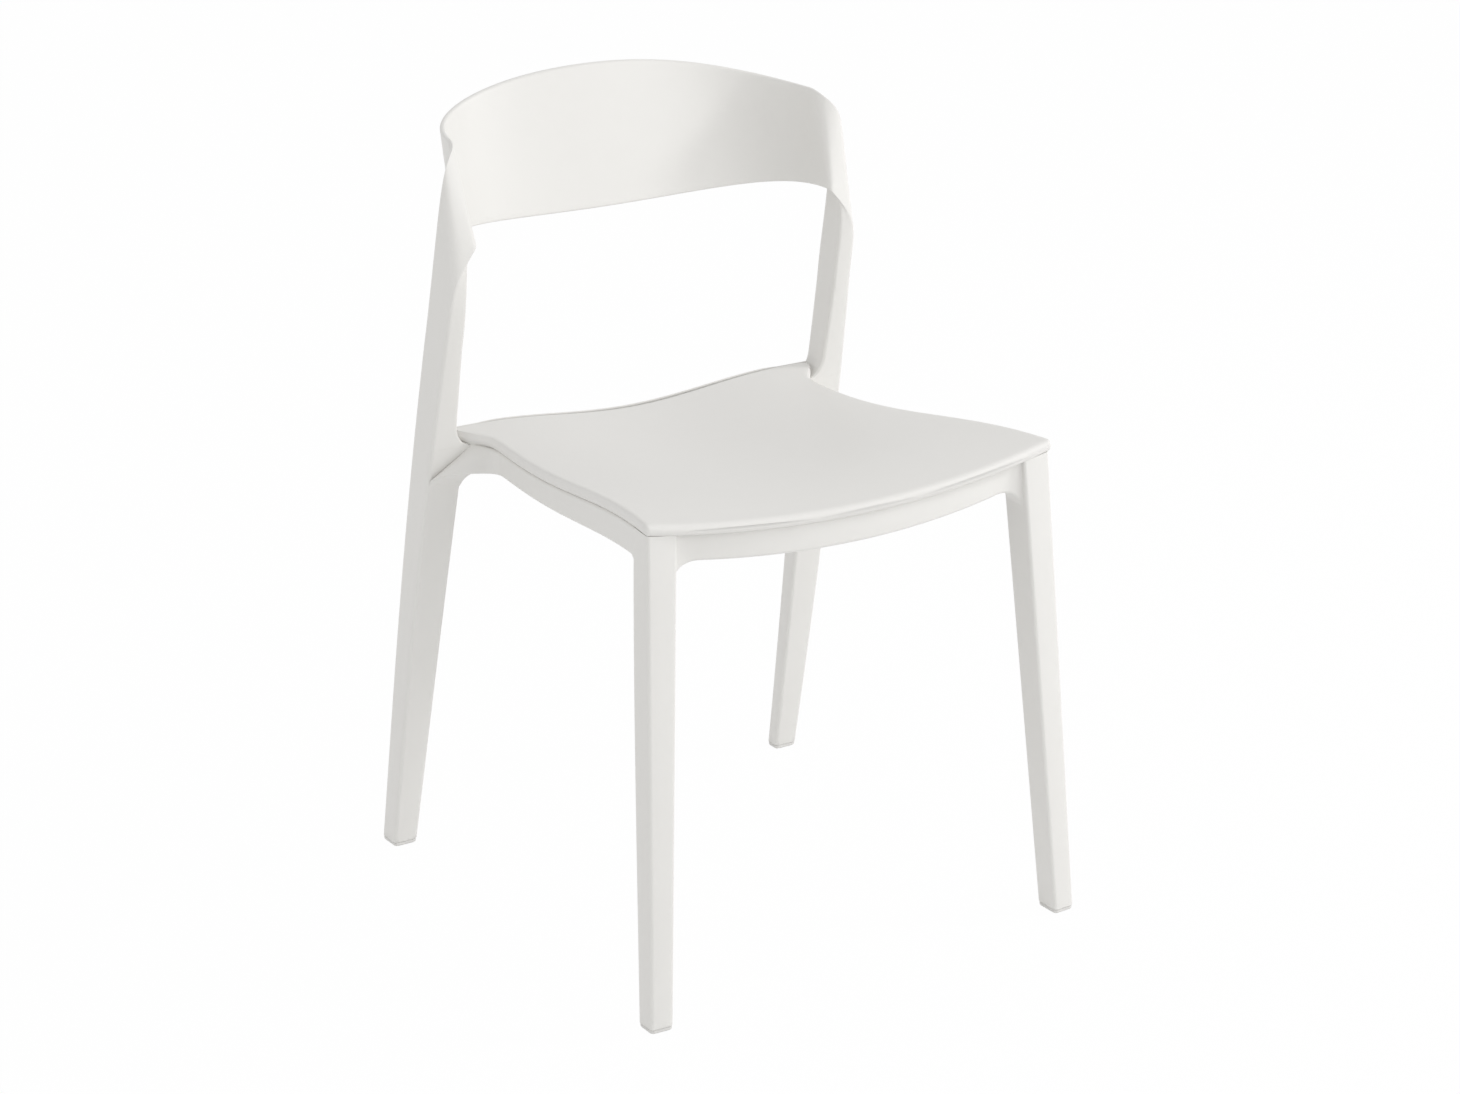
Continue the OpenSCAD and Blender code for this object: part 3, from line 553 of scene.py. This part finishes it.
# ---------- front legs ----------
def front_leg_corners(s):
    """Corners of the leg at s from the foot to the frame's top, each on its own slope."""
    x, y0, y1 = FRONT_TOP_X, front_edge_y(FRONT_TOP_Z), front_back_y(FRONT_TOP_Z)
    inner = front_inner_x(FRONT_TOP_Z)
    tops = [frame_z(*p) for p in
            ((x, y0 + FRONT_TOE), (inner, y0), (inner, y1 + FRONT_HEEL), (x, y1))]
    z = [mix(FOOT_Z, top, s) for top in tops]
    turn_in = x + RAIL_INSET - seat_half(y1)
    return np.stack([
        points(front_outer_x(z[0]), front_edge_y(z[0]) + FRONT_TOE, z[0]),
        points(front_inner_x(z[1]), front_edge_y(z[1]), z[1]),
        points(front_inner_x(z[2]), front_back_y(z[2]) + FRONT_HEEL, z[2]),
        points(front_outer_x(z[3]) - turn_in * s ** TURN_IN_POWER, front_back_y(z[3]), z[3])], 1)


def front_leg(name, side):
    """A leg from the rounded rim of its foot to the frame's top."""
    s = np.linspace(FRONT_STEP, 1, 70)
    rings = np.concatenate([
        foot_rings(lambda z: front_leg_corners(0 * z), FOOT_Z, EDGE_R),
        rounded(front_leg_corners(s), EDGE_R)])
    if side < 0:
        rings = mirrored(rings)
    Skin().shell(rings).piece(name, "frame_plastic", frame_plastic, name)


# ---------- side rails ----------
def side_rail_rings(v):
    """Rings from inside the front leg to inside the rear leg. Towards the rear leg the rail
    spreads to the leg's width, smoothly over two arch lengths, and its lower corners drop
    by a quarter round over the last one, and make an arch under the seat."""
    y_start, y_end = front_back_y(HIP_TOP), post_front_y(HIP_TOP)
    y = mix(y_start, y_end, v)
    run = y_end - y
    spread = smooth(1 - run / (2 * ARCH_L))
    arch = quarter(1 - run / ARCH_L)
    toe = quarter(1 - (y - y_start) / RAIL_FILLET)
    top_outer = seat_half(y) - RAIL_INSET
    top_inner = mix(top_outer - RAIL_W, HIP_X, spread)
    z_top = frame_z(top_outer, y)
    z_low = z_top - mix(RAIL_H, RAIL_REAR_H, smooth(v)) - RAIL_FILLET * toe
    z_outer, z_inner = z_low - ARCH_OUTER_DROP * arch, z_low - ARCH_DROP * arch
    low_outer = mix(top_outer, rear_outer_x(z_outer) - ARCH_INSET, spread)
    low_inner = mix(top_inner, rear_inner_x(z_inner) + ARCH_INSET, spread)

    def along(z):
        return mix(front_back_y(z), post_front_y(z), v)

    return rounded(np.stack([
        points(low_outer, along(z_outer), z_outer), points(low_inner, along(z_inner), z_inner),
        points(top_inner, along(z_top), frame_z(top_inner, y)),
        points(top_outer, along(z_top), z_top)], 1), mix(EDGE_R, ARCH_R, spread))


def lug_x(y):
    """Middle of a lug: its radius inside the rail."""
    return float(seat_half(y)) - RAIL_INSET - RAIL_W - LUG_R


def lug_top(y):
    """Top of a lug: the frame's top there, less the drop."""
    return float(frame_z(lug_x(y), y)) - LUG_DROP


def lug_rings(y):
    """A hoop of four outlines round the lug: a half round and a tongue outside, and the
    bore inside. Where the tongue is, a point lies on the box at the same turn."""
    a = np.linspace(-math.pi, math.pi, 64, endpoint=False)
    bore = np.stack([np.cos(a), np.sin(a)], -1) * LUG_BORE / 2
    tongue = LUG_R + RAIL_W / 2
    slope = np.tan(a)
    box = np.stack([np.minimum(tongue, LUG_R / np.maximum(np.abs(slope), 1e-6)),
                    np.clip(tongue * slope, -LUG_R, LUG_R)], -1)
    outline = np.where(np.cos(a)[:, None] > 0, box, bore / LUG_BORE * 2 * LUG_R)
    top = lug_top(y)
    levels = [(outline, top - LUG_T), (outline, top), (bore, top), (bore, top - LUG_T)]
    return np.stack([points(lug_x(y) + o[:, 0], y + o[:, 1], z) for o, z in levels])


def side_rail(name, side):
    """A rail with its lugs, the arch softened, and both ends run on inside the legs."""
    v = eased(0, 1, 170)
    start, run, rounds = ARCH_SOFT
    rings = softened(side_rail_rings(v), smooth((v - start) / run)[:, None], rounds)
    toe = rings[:1] + np.array([0, -BURIED, 0])
    heel = rings[-1:] + np.array([0, BURIED, 0])
    skin = Skin()
    flip = mirrored if side < 0 else (lambda p: p)
    skin.shell(flip(np.concatenate([toe, rings, heel])))
    for y in SCREW_PLACES:
        skin.shell(flip(lug_rings(y)), hoop=True)
    skin.piece(name, "frame_plastic", frame_plastic, name)


# ---------- front rail ----------
def front_rail():
    """A bowed bar. By a quarter round at its ends, the underside drops and the front face
    comes forward to the legs."""
    u = np.sin(np.linspace(-math.pi / 2, math.pi / 2, 121))
    end = front_inner_x(FRONT_TOP_Z)
    x = np.abs(u) * end
    corner = quarter(1 - (end - x) / APRON_SWEEP)
    bow = front_edge_y(FRONT_TOP_Z) - (LIP_BOW + APRON_BOW) * (1 - u * u)
    y = bow + mix(APRON_SETBACK, LEG_LINE, corner)
    y_back = bow + APRON_SETBACK + APRON_T
    z_top, z_back = frame_z(x, y), frame_z(x, y_back)
    z_low = z_top - APRON_H - APRON_FILLET * corner
    side = np.sign(u)
    corners = np.stack([
        points(side * np.abs(u) * front_inner_x(z_low), y, z_low),
        points(side * np.abs(u) * front_inner_x(z_low), y_back, z_low),
        points(side * np.abs(u) * front_inner_x(z_back), y_back, z_back),
        points(side * np.abs(u) * front_inner_x(z_top), y, z_top)], 1)
    rings = rounded(corners, EDGE_R)
    left = rings[:1] + np.array([-BURIED, 0, 0])
    right = rings[-1:] + np.array([BURIED, 0, 0])
    Skin().shell(np.concatenate([left, rings, right])).piece(
        "front_rail", "frame_plastic", frame_plastic, "front_rail")


# ---------- rear rail ----------
def leaning(x, offset, z):
    """Points this far behind the posts' front plane, so that they lean with it."""
    return points(x, post_front_y(z) + offset, z)


def rear_rail():
    """A bar between the hips, and a lip behind the panel's rear edge that ends on the
    flares beside it."""
    front, lip_front = BAR_FRONT, SEAT_SETBACK - LIP_LEAD
    back = rear_depth(HIP_TOP) - HEEL_SLANT

    def ledge(x, offset):
        return frame_z(x, post_front_y(HIP_TOP) + offset)

    x = np.linspace(-HIP_X - BURIED, HIP_X + BURIED, 81)
    bar = np.stack([leaning(x, front, HIP_BOTTOM), leaning(x, back, HIP_BOTTOM),
                    leaning(x, back, ledge(x, lip_front)), leaning(x, front, ledge(x, front))], 1)
    tip_x = float(rear_inner_x(np.array(float(seat_side_z(SEAT_REAR_Y)) - LIP_DROP))) + LIP_T
    x = np.concatenate([-eased(tip_x, HIP_X, 24), np.linspace(-HIP_X, HIP_X, 161)[1:-1],
                        eased(HIP_X, tip_x, 24)])
    sink = smooth((np.abs(x) - HIP_X) / LIP_RAMP + 1)
    top = seat_z(x, SEAT_REAR_Y) - mix(LIP_BELOW, LIP_DROP, sink)
    post_x = rear_inner_x(np.array(FLARE_FOOT + FLARE_H))
    part = np.clip((post_x - np.abs(x)) / (post_x - FLARE_X), 0, 1)
    below = np.where(np.abs(x) <= FLARE_X, HIP_TOP, FLARE_FOOT + FLARE_H * quarter(1 - part))
    low = np.where(np.abs(x) <= HIP_X, HIP_BOTTOM + EDGE_R,
                   np.minimum(below, top - LIP_T) - LIP_SUNK)
    lip = np.stack([leaning(x, lip_front, low), leaning(x, back, low),
                    leaning(x, back, top), leaning(x, lip_front, top)], 1)
    Skin().shell(rounded(bar, EDGE_R)).shell(rounded(lip, LIP_R, crown=0)).piece(
        "rear_rail", "frame_plastic", frame_plastic, "rear_rail")


# ---------- seat panel ----------
NOSE_R = (EDGE_T + EDGE_SAG) / 2           # half the height of the rounded edge
EDGE_H = 2 * NOSE_R - SEAT_T               # depth of the rounded edge below the sheet
SIDE_REACH, HIP_REACH = 3 * MM, 1 * MM     # how far in it rounds above, also by the posts
LOW_RUN, LOW_PART = 3 * MM, 0.7            # and below, where it stops short of level
NOSE_TURNS = np.radians([12, 28, 44, 60, 75, 88])
ABOVE_TURNS = np.radians([75, 60, 45, 30, 15])
BELOW_TURNS = np.radians([18, 36, 54, 72, 90])
SEAT_FIT = 0.4 * MM                        # clearance between the skirt and the frame
DRAFT = 0.4 * MM                           # slope at the sides of a wall or rib
SKIRT_AT = NOSE_R + SKIRT_INSET
REST_H = EDGE_T - SEAT_T + SHADOW_GAP - SEAT_FIT   # depth of the skirt, down to the frame
RIB_FIT = 3 * MM
RAIL_ZONE = RAIL_INSET + RAIL_W + RIB_FIT  # the ribs stay shallow over the rails
RIB_RUN = 8 * MM                           # length over which a rib gets deep
# The first plain line's inset, then how many lines lie outside and between the ribs
COLUMN_LINES, ROW_LINES = (0.2, 8, 9), (0.08, 6, 9)


def edge_lines(at):
    """Grid lines beside an edge, each a station, a distance inwards and a drop below."""
    return [(at, NOSE_R, EDGE_H), (at, SKIRT_AT, EDGE_H),
            (at, SKIRT_AT + DRAFT, REST_H), (at, SKIRT_AT + RIB_T - DRAFT, REST_H),
            (at, SKIRT_AT + RIB_T, 0), (at, RAIL_ZONE, 0), (at, RAIL_ZONE + RIB_RUN, 0)]


def rib_lines(at):
    """Grid lines of a rib: down its one slanted side and up the other."""
    return [(at, -RIB_T / 2, 0), (at, DRAFT - RIB_T / 2, RIB_H),
            (at, RIB_T / 2 - DRAFT, RIB_H), (at, RIB_T / 2, 0)]


def plain_lines(start, end, count):
    """Grid lines spaced evenly between two stations, without either."""
    return [(mix(start, end, i / (count + 1)), 0, 0) for i in range(1, count + 1)]


def lines_between(first, middle, last, pitch, inset, few, many):
    """Both edges, three ribs a pitch apart about the middle, and plain lines: few outside
    the ribs, which start an inset from the edges, and many between them."""
    before, after = middle - pitch, middle + pitch
    return np.array(
        edge_lines(first) + plain_lines(first + inset, before, few) + rib_lines(before)
        + plain_lines(before, middle, many) + rib_lines(middle)
        + plain_lines(middle, after, many) + rib_lines(after)
        + plain_lines(after, last - inset, few) + edge_lines(last)[::-1])


def seat_line_y(u, v):
    """Depth of a line across the panel: bowed at the front by the lip, and drawn forward at
    the rear corners by a quarter round."""
    corner = quarter(1 - (1 - np.abs(u)) * SEAT_REAR_W / 2 / CORNER_R)
    return (mix(SEAT_FRONT_Y, SEAT_REAR_Y, v) - LIP_BOW * (1 - u * u) * (1 - v) ** 2
            - CORNER_R * corner * v ** CORNER_POWER)


def edge_arc(turn, part=1):
    """Run inwards and height, each up to 1, of half the edge's section: an arc of an
    ellipse, which ends at this part of a quarter turn."""
    run, height = 1 - np.cos(turn * part), np.sin(turn * part)
    return run / (1 - math.cos(math.pi / 2 * part)), height / math.sin(math.pi / 2 * part)


def seat_rings():
    """Rings round the panel along each row: over the top, round one edge, back under the
    sheet, skirt and ribs, and round the other edge. The nose at the front and rear is made
    of such rings too. Beside the posts the edge rounds in less above and sags more below."""
    columns = lines_between(-1, 0, 1, 2 * RIB_PITCH / SEAT_FRONT_W, *COLUMN_LINES)
    rows = lines_between(0, 0.5, 1, RIB_PITCH / SEAT_L, *ROW_LINES)
    extra = len(NOSE_TURNS)
    both = np.concatenate([NOSE_TURNS, np.full(len(rows), math.pi / 2),
                           NOSE_TURNS[::-1]])[:, None]
    at_nose = both < math.pi / 2
    station = np.concatenate([np.zeros(extra), rows[:, 0], np.ones(extra)])[:, None]
    row_run = np.concatenate([np.zeros(extra), rows[:, 1], np.zeros(extra)])[:, None]
    row_drop = np.concatenate([np.full(extra, EDGE_H), rows[:, 2],
                               np.full(extra, EDGE_H)])[:, None]
    (top_run, top), (low_run, low) = edge_arc(both), edge_arc(both, LOW_PART)
    top_run = np.where(at_nose, NOSE_R * top_run, row_run)
    low_run = np.where(at_nose, LOW_RUN * low_run, row_run)

    def row_y(u, run):
        return seat_line_y(u, station) + np.where(station == 1, -run, run)

    edge_y = row_y(np.ones((1, 1)), top_run)
    half_w = panel_half(edge_y)
    side = np.abs(columns[:, 0]) == 1
    across = np.where(side, columns[:, 0] * (half_w - columns[:, 1]),
                      columns[:, 0] * half_w + columns[:, 1])
    (above_run, above), (below_run, below) = (
        edge_arc(ABOVE_TURNS), edge_arc(BELOW_TURNS, LOW_PART))
    reach = mix(SIDE_REACH, HIP_REACH, near_posts(edge_y, 1))
    sag = 1 + HIP_SAG / NOSE_R * near_posts(edge_y, 0.5)
    outer = half_w - NOSE_R * (1 - top)
    nose_x = np.concatenate([outer - top * reach * above_run, outer,
                             outer - top * LOW_RUN * below_run], axis=1)
    nose_up = NOSE_R * np.concatenate([top * above, 0 * top, -low * sag * below], axis=1)
    nose_run = np.concatenate([top_run + 0 * above, (top_run + low_run) / 2,
                               low_run + 0 * below], axis=1)
    inset = np.minimum(np.where(side, columns[:, 1], 1)[None, :],
                       np.where((station == 0) | (station == 1), low_run, 1))
    allowed = np.select([inset < SKIRT_AT + DRAFT, inset < RAIL_ZONE + RIB_RUN],
                        [EDGE_H, REST_H], RIB_H)
    under = EDGE_H - NOSE_R * low - np.minimum(allowed, np.maximum(columns[None, :, 2], row_drop))
    x = np.concatenate([across, nose_x, across[:, ::-1], -nose_x[:, ::-1]], axis=1)
    up = np.concatenate([NOSE_R * top + 0 * across, nose_up, under[:, ::-1],
                         nose_up[:, ::-1]], axis=1)
    run = np.concatenate([top_run + 0 * across, nose_run, low_run + 0 * across,
                          nose_run[:, ::-1]], axis=1)
    y = row_y(np.clip(x / half_w, -1, 1), run)
    return points(x, y, seat_z(x, y) - NOSE_R + up)


def turned(profile, at, steps=40):
    """Rings of a turned piece: a profile of radii and heights carried round an upright axis."""
    a = np.linspace(0, 2 * math.pi, steps, endpoint=False)
    return np.stack([points(at[0] + r * np.cos(a), at[1] + r * np.sin(a), z) for r, z in profile])


def seat_panel():
    """The panel, with four bosses for the screws that widen into the sheet."""
    skin = Skin().shell(seat_rings())
    wider, root_low, root_high = BOSS_ROOT
    for side in (-1, 1):
        for y in SCREW_PLACES:
            x = side * lug_x(y)
            low, high = lug_top(y) + FACE_FIT, float(seat_z(x, y)) - SEAT_T / 2
            r = BOSS_D / 2
            skin.shell(turned([(r - BOSS_EDGE, low), (r, low + BOSS_EDGE), (r, high - root_low),
                               (r + wider, high - root_high), (r + wider, high)], (x, y)))
    skin.piece("seat_panel", "seat_plastic", seat_plastic, "seat_panel")


# ---------- glides ----------
def glide(name, foot_corners, side):
    """A pad under the foot: its outline drawn in by a quarter round at the lower rim."""
    b = np.linspace(0, math.pi / 2, 9)
    height = np.append(GLIDE_R * (1 - np.cos(b)), FOOT_Z)
    inset = np.append(GLIDE_INSET + GLIDE_R * (1 - np.sin(b)), GLIDE_INSET)
    corners = np.repeat(foot_corners, len(height), axis=0)
    middle = corners.mean(axis=1, keepdims=True)
    corners = corners + unit(middle - corners) * (math.sqrt(2) * inset)[:, None, None]
    corners[:, :, 2] = height[:, None]
    rings = rounded(corners, EDGE_R, crown=0)
    Skin().shell(mirrored(rings) if side < 0 else rings).piece(
        name, "glide_plastic", glide_plastic, name)


# ---------- seat screws ----------
def seat_screws():
    """Domed heads under the lugs, each with a six-sided socket, and shanks up to the bosses."""
    skin = Skin()
    a = np.linspace(0, 2 * math.pi, 48, endpoint=False)
    hexagon = SOCKET_R / np.cos((a + math.pi / 6) % (math.pi / 3) - math.pi / 6)
    r = SCREW_HEAD_D / 2
    for side in (-1, 1):
        for y in SCREW_PLACES:
            x, seat = side * lug_x(y), lug_top(y) - LUG_T - FACE_FIT
            bottom = seat - SCREW_HEAD_H
            rows = [(SOCKET_FLOOR_R + 0 * a, bottom + SOCKET_DEPTH),
                    (hexagon * SOCKET_FLOOR, bottom + SOCKET_DEPTH),
                    (hexagon, bottom + SOCKET_DEPTH - SOCKET_FILLET),
                    (hexagon, bottom + SOCKET_BEVEL),
                    (hexagon + SOCKET_BEVEL, bottom)]
            rows += [(r - SCREW_DOME_R * (1 - math.sin(t)) + 0 * a,
                      bottom + SCREW_DOME_R * (1 - math.cos(t)))
                     for t in np.linspace(SCREW_DOME_START, math.pi / 2, 7)]
            rows += [(r + 0 * a, seat), (r - HEAD_BEVEL + 0 * a, seat), (SHANK_R + 0 * a, seat),
                     (SHANK_R + 0 * a, seat + SHANK_L), (SHANK_TIP_R + 0 * a, seat + SHANK_TIP_L)]
            skin.shell(np.stack([points(x + q * np.cos(a), y + q * np.sin(a), z) for q, z in rows]))
    skin.piece("seat_screws", "screw_steel", screw_steel, "seat_screws", sharp=30)


# ---------- materials ----------
class Wire:
    """One output of a node. Arithmetic on it adds Math nodes; plain numbers stay numbers."""

    def __init__(self, nodes, socket):
        self.nodes, self.socket = nodes, socket

    def maths(self, operation, a, b):
        """A Math node on two Wires or numbers."""
        return self.nodes.node("ShaderNodeMath", {"operation": operation}, {0: a, 1: b})(0)

    def __add__(self, other):
        return self.maths("ADD", self, other)

    def __sub__(self, other):
        return self.maths("SUBTRACT", self, other)

    def __rsub__(self, other):
        return self.maths("SUBTRACT", other, self)

    def __mul__(self, other):
        return self.maths("MULTIPLY", self, other)

    __radd__ = __add__
    __rmul__ = __mul__


class Nodes:
    """A node tree in the making. Every node comes from its one method."""

    def __init__(self, tree):
        self.tree = tree

    def node(self, kind, settings, sockets):
        """Adds a node, makes its settings, then fills or links its sockets. The result gives
        a Wire for an output."""
        node = self.tree.nodes.new(kind)
        for key, value in settings.items():
            setattr(node, key, value)
        for key, value in sockets.items():
            self.feed(node.inputs[key], value)
        return lambda output: Wire(self, node.outputs[output])

    def feed(self, socket, value):
        """Links a Wire to a socket, or sets a plain value there."""
        if isinstance(value, Wire):
            self.tree.links.new(value.socket, socket)
        else:
            socket.default_value = value

    def seen_directly(self):
        """1 for a ray from the camera, in gloss or through glass, otherwise 0: the greatest
        of the three."""
        ray = self.node("ShaderNodeLightPath", {}, {})
        seen = ray("Is Camera Ray")
        for kind in ("Is Glossy Ray", "Is Transmission Ray"):
            seen = seen.maths("MAXIMUM", seen, ray(kind))
        return seen

    def shaders(self, part, first, second, output):
        """Two shaders mixed by a part from 0 to 1, as the tree's result."""
        mixed = self.node("ShaderNodeMixShader", {}, {0: part, 1: first, 2: second})(0)
        self.node(output, {}, {"Surface": mixed})


class Recipe(Nodes):
    """A material's node tree with a Principled shader to feed."""

    def __init__(self, name):
        self.material = bpy.data.materials.new(name)
        self.material.use_nodes = True
        super().__init__(self.material.node_tree)
        self.shader = self.tree.nodes["Principled BSDF"]
        self.place = self.node("ShaderNodeTexCoord", {}, {})("Object")

    def noise(self, size, detail=2.0, roughness=0.5):
        """Soft noise between 0 and 1 whose lumps are about this size."""
        return self.node("ShaderNodeTexNoise", {"noise_dimensions": "3D"}, {
            "Vector": self.place, "Scale": 1 / size, "Detail": detail,
            "Roughness": roughness})("Fac")

    def blend(self, part, first, second):
        """A colour between two, by a value from 0 to 1."""
        mixer = self.node("ShaderNodeMix", {"data_type": "RGBA"}, {
            "Factor": part, 6: (*first, 1), 7: (*second, 1)})
        return mixer(2)

    def bump(self, height, depth, strength=1.0):
        """Relief of a height from 0 to 1 over a real depth."""
        return self.node("ShaderNodeBump", {}, {
            "Height": height, "Distance": depth, "Strength": strength})("Normal")

    def finish(self, **sockets):
        """Feeds the Principled shader, an underline standing for a space in a name."""
        for key, value in sockets.items():
            self.feed(self.shader.inputs[key.replace("_", " ")], value)
        return self.material


def moulded_plastic(name, pale, deep, sheen, grain):
    """Satin white plastic: a fine spark-eroded grain, faint flow clouds in colour and gloss,
    and slight sink over the broad faces."""
    recipe = Recipe(name)
    clouds = recipe.noise(90 * MM, 3)
    flow = recipe.noise(14 * MM, 2)
    fine = recipe.noise(grain, 2, 0.6)
    colour = recipe.blend(clouds * 0.65 + flow * 0.35, deep, pale)
    rough = sheen + (clouds - 0.5) * 0.08 + (fine - 0.5) * 0.10
    relief = fine * 0.8 + flow * 0.2
    return recipe.finish(Base_Color=colour, Roughness=rough, IOR=1.49,
                         Normal=recipe.bump(relief, 0.05 * MM, 0.5))


def frame_finish():
    """The frame's plastic."""
    return moulded_plastic("frame_plastic", (0.815, 0.805, 0.780), (0.790, 0.778, 0.750),
                           0.44, 0.9 * MM)


def seat_finish_and_shade():
    """The panel's plastic, the same as the frame's: duller, with a coarser grain, and a little
    darker in colour as painted shade for the seat's upward faces.
    """
    # Colours a little darker than the frame's: painted shade, as the seat's top catches less light.
    return moulded_plastic("seat_plastic", (0.805, 0.795, 0.772), (0.782, 0.770, 0.744),
                           0.50, 1.2 * MM)


def glide_finish():
    """Waxy grey plastic with scuffs that dull it."""
    recipe = Recipe("glide_plastic")
    scuff = recipe.noise(1.5 * MM, 4, 0.7)
    haze = recipe.noise(8 * MM, 2)
    colour = recipe.blend(scuff * 0.6 + haze * 0.4, (0.70, 0.69, 0.67), (0.78, 0.77, 0.75))
    return recipe.finish(Base_Color=colour, Roughness=0.36 + scuff * 0.2, IOR=1.5,
                         Normal=recipe.bump(scuff, 0.04 * MM, 0.5))


def steel_finish():
    """Plated steel: fine drawn marks in the gloss and the relief."""
    recipe = Recipe("screw_steel")
    marks = recipe.noise(0.35 * MM, 3, 0.7)
    stain = recipe.noise(3 * MM, 2)
    colour = recipe.blend(stain, (0.50, 0.51, 0.53), (0.60, 0.61, 0.62))
    return recipe.finish(Base_Color=colour, Metallic=1.0, Roughness=0.24 + marks * 0.2,
                         Normal=recipe.bump(marks, 0.02 * MM, 0.5))


frame_plastic = frame_finish()
seat_plastic = seat_finish_and_shade()
glide_plastic = glide_finish()
screw_steel = steel_finish()

# ---------- the chair ----------
rear_frame()
front_rail()
rear_rail()
seat_panel()
seat_screws()
front_corners = front_leg_corners(np.array([0.0]))
rear_corners = rear_leg_corners(np.array([FOOT_Z]))
for word, side in (("left", -1), ("right", 1)):
    front_leg(word + "_front_leg", side)
    side_rail(word + "_side_rail", side)
    glide(word + "_front_glide", front_corners, side)
    glide(word + "_rear_glide", rear_corners, side)

# ---------- stage ----------
CAMERA_TURN = math.radians(-33.07)
CAMERA_RISE = math.radians(19.61)
CAMERA_DISTANCE = 3.189
CAMERA_TARGET = Vector((0, -0.0146, 0.3376))
CAMERA_LENS = 84.78
LAMP_TARGET = Vector((0, 0, 0.4))          # the middle of the chair
LAMP_DISTANCE = 3.5
# Name, turn and rise in degrees, width in metres and power in watts
LAMPS = (("key", 66, 30, 0.7, 30), ("front", 31, 18, 2.4, 28), ("side", -92, 5, 2.4, 12.5))
WORLD_LIGHT = 0.68
FLOOR_HALF = 8.0
FLOOR_WHITE = 0.98


def look_from(turn, rise):
    """Direction towards the viewer, at a turn about +Z from the front and a rise above level."""
    return Vector((math.sin(turn) * math.cos(rise), -math.cos(turn) * math.cos(rise),
                   math.sin(rise)))


def aim(thing, place, target):
    """Put a lamp or camera at a place and turn its -Z axis to the target."""
    thing.location = place
    thing.rotation_euler = (target - place).to_track_quat("-Z", "Y").to_euler()


def make_camera():
    """Camera at its distance from its target, at the chair's viewing angle."""
    data = bpy.data.cameras.new("camera")
    data.lens = CAMERA_LENS
    data.sensor_width = 36
    camera = bpy.data.objects.new("camera", data)
    bpy.context.collection.objects.link(camera)
    back = look_from(CAMERA_TURN, CAMERA_RISE)
    aim(camera, CAMERA_TARGET + CAMERA_DISTANCE * back, CAMERA_TARGET)
    bpy.context.scene.camera = camera


def soft_lamp(name, turn, rise, size, power):
    """Square area lamp that looks at the middle of the chair."""
    data = bpy.data.lights.new(name, "AREA")
    data.size = size
    data.energy = power
    lamp = bpy.data.objects.new(name, data)
    bpy.context.collection.objects.link(lamp)
    back = look_from(math.radians(turn), math.radians(rise))
    aim(lamp, LAMP_TARGET + LAMP_DISTANCE * back, LAMP_TARGET)


def emptied(owner):
    """The nodes of a world or material, with none in it yet."""
    owner.use_nodes = True
    owner.node_tree.nodes.clear()
    return Nodes(owner.node_tree)


def make_world(strength):
    """White to the eye and in gloss, at strength 1, and dimmer as a light."""
    world = bpy.data.worlds.new("studio")
    bpy.context.scene.world = world
    nodes = emptied(world)
    dim, full = (nodes.node("ShaderNodeBackground", {}, {
        "Color": (1, 1, 1, 1), "Strength": level})(0) for level in (strength, 1))
    nodes.shaders(nodes.seen_directly(), dim, full, "ShaderNodeOutputWorld")


def make_floor(whiteness):
    """Wide matte floor. To the eye, the whiteness is the part of it that shines at strength
    1, and the rest keeps the chair's shadow."""
    mesh = bpy.data.meshes.new("floor")
    s = FLOOR_HALF
    mesh.from_pydata([(-s, -s, 0), (s, -s, 0), (s, s, 0), (-s, s, 0)], [], [(0, 1, 2, 3)])
    floor = bpy.data.objects.new("floor", mesh)
    bpy.context.collection.objects.link(floor)
    paint = bpy.data.materials.new("floor")
    nodes = emptied(paint)
    matte = nodes.node("ShaderNodeBsdfDiffuse", {}, {"Color": (0.9, 0.9, 0.9, 1)})(0)
    shine = nodes.node("ShaderNodeEmission", {}, {"Strength": 1})(0)
    nodes.shaders(nodes.seen_directly() * whiteness, matte, shine, "ShaderNodeOutputMaterial")
    mesh.materials.append(paint)


make_camera()
make_world(WORLD_LIGHT)
for lamp in LAMPS:
    soft_lamp(*lamp)
make_floor(FLOOR_WHITE)
bpy.context.scene.view_settings.view_transform = "Standard"
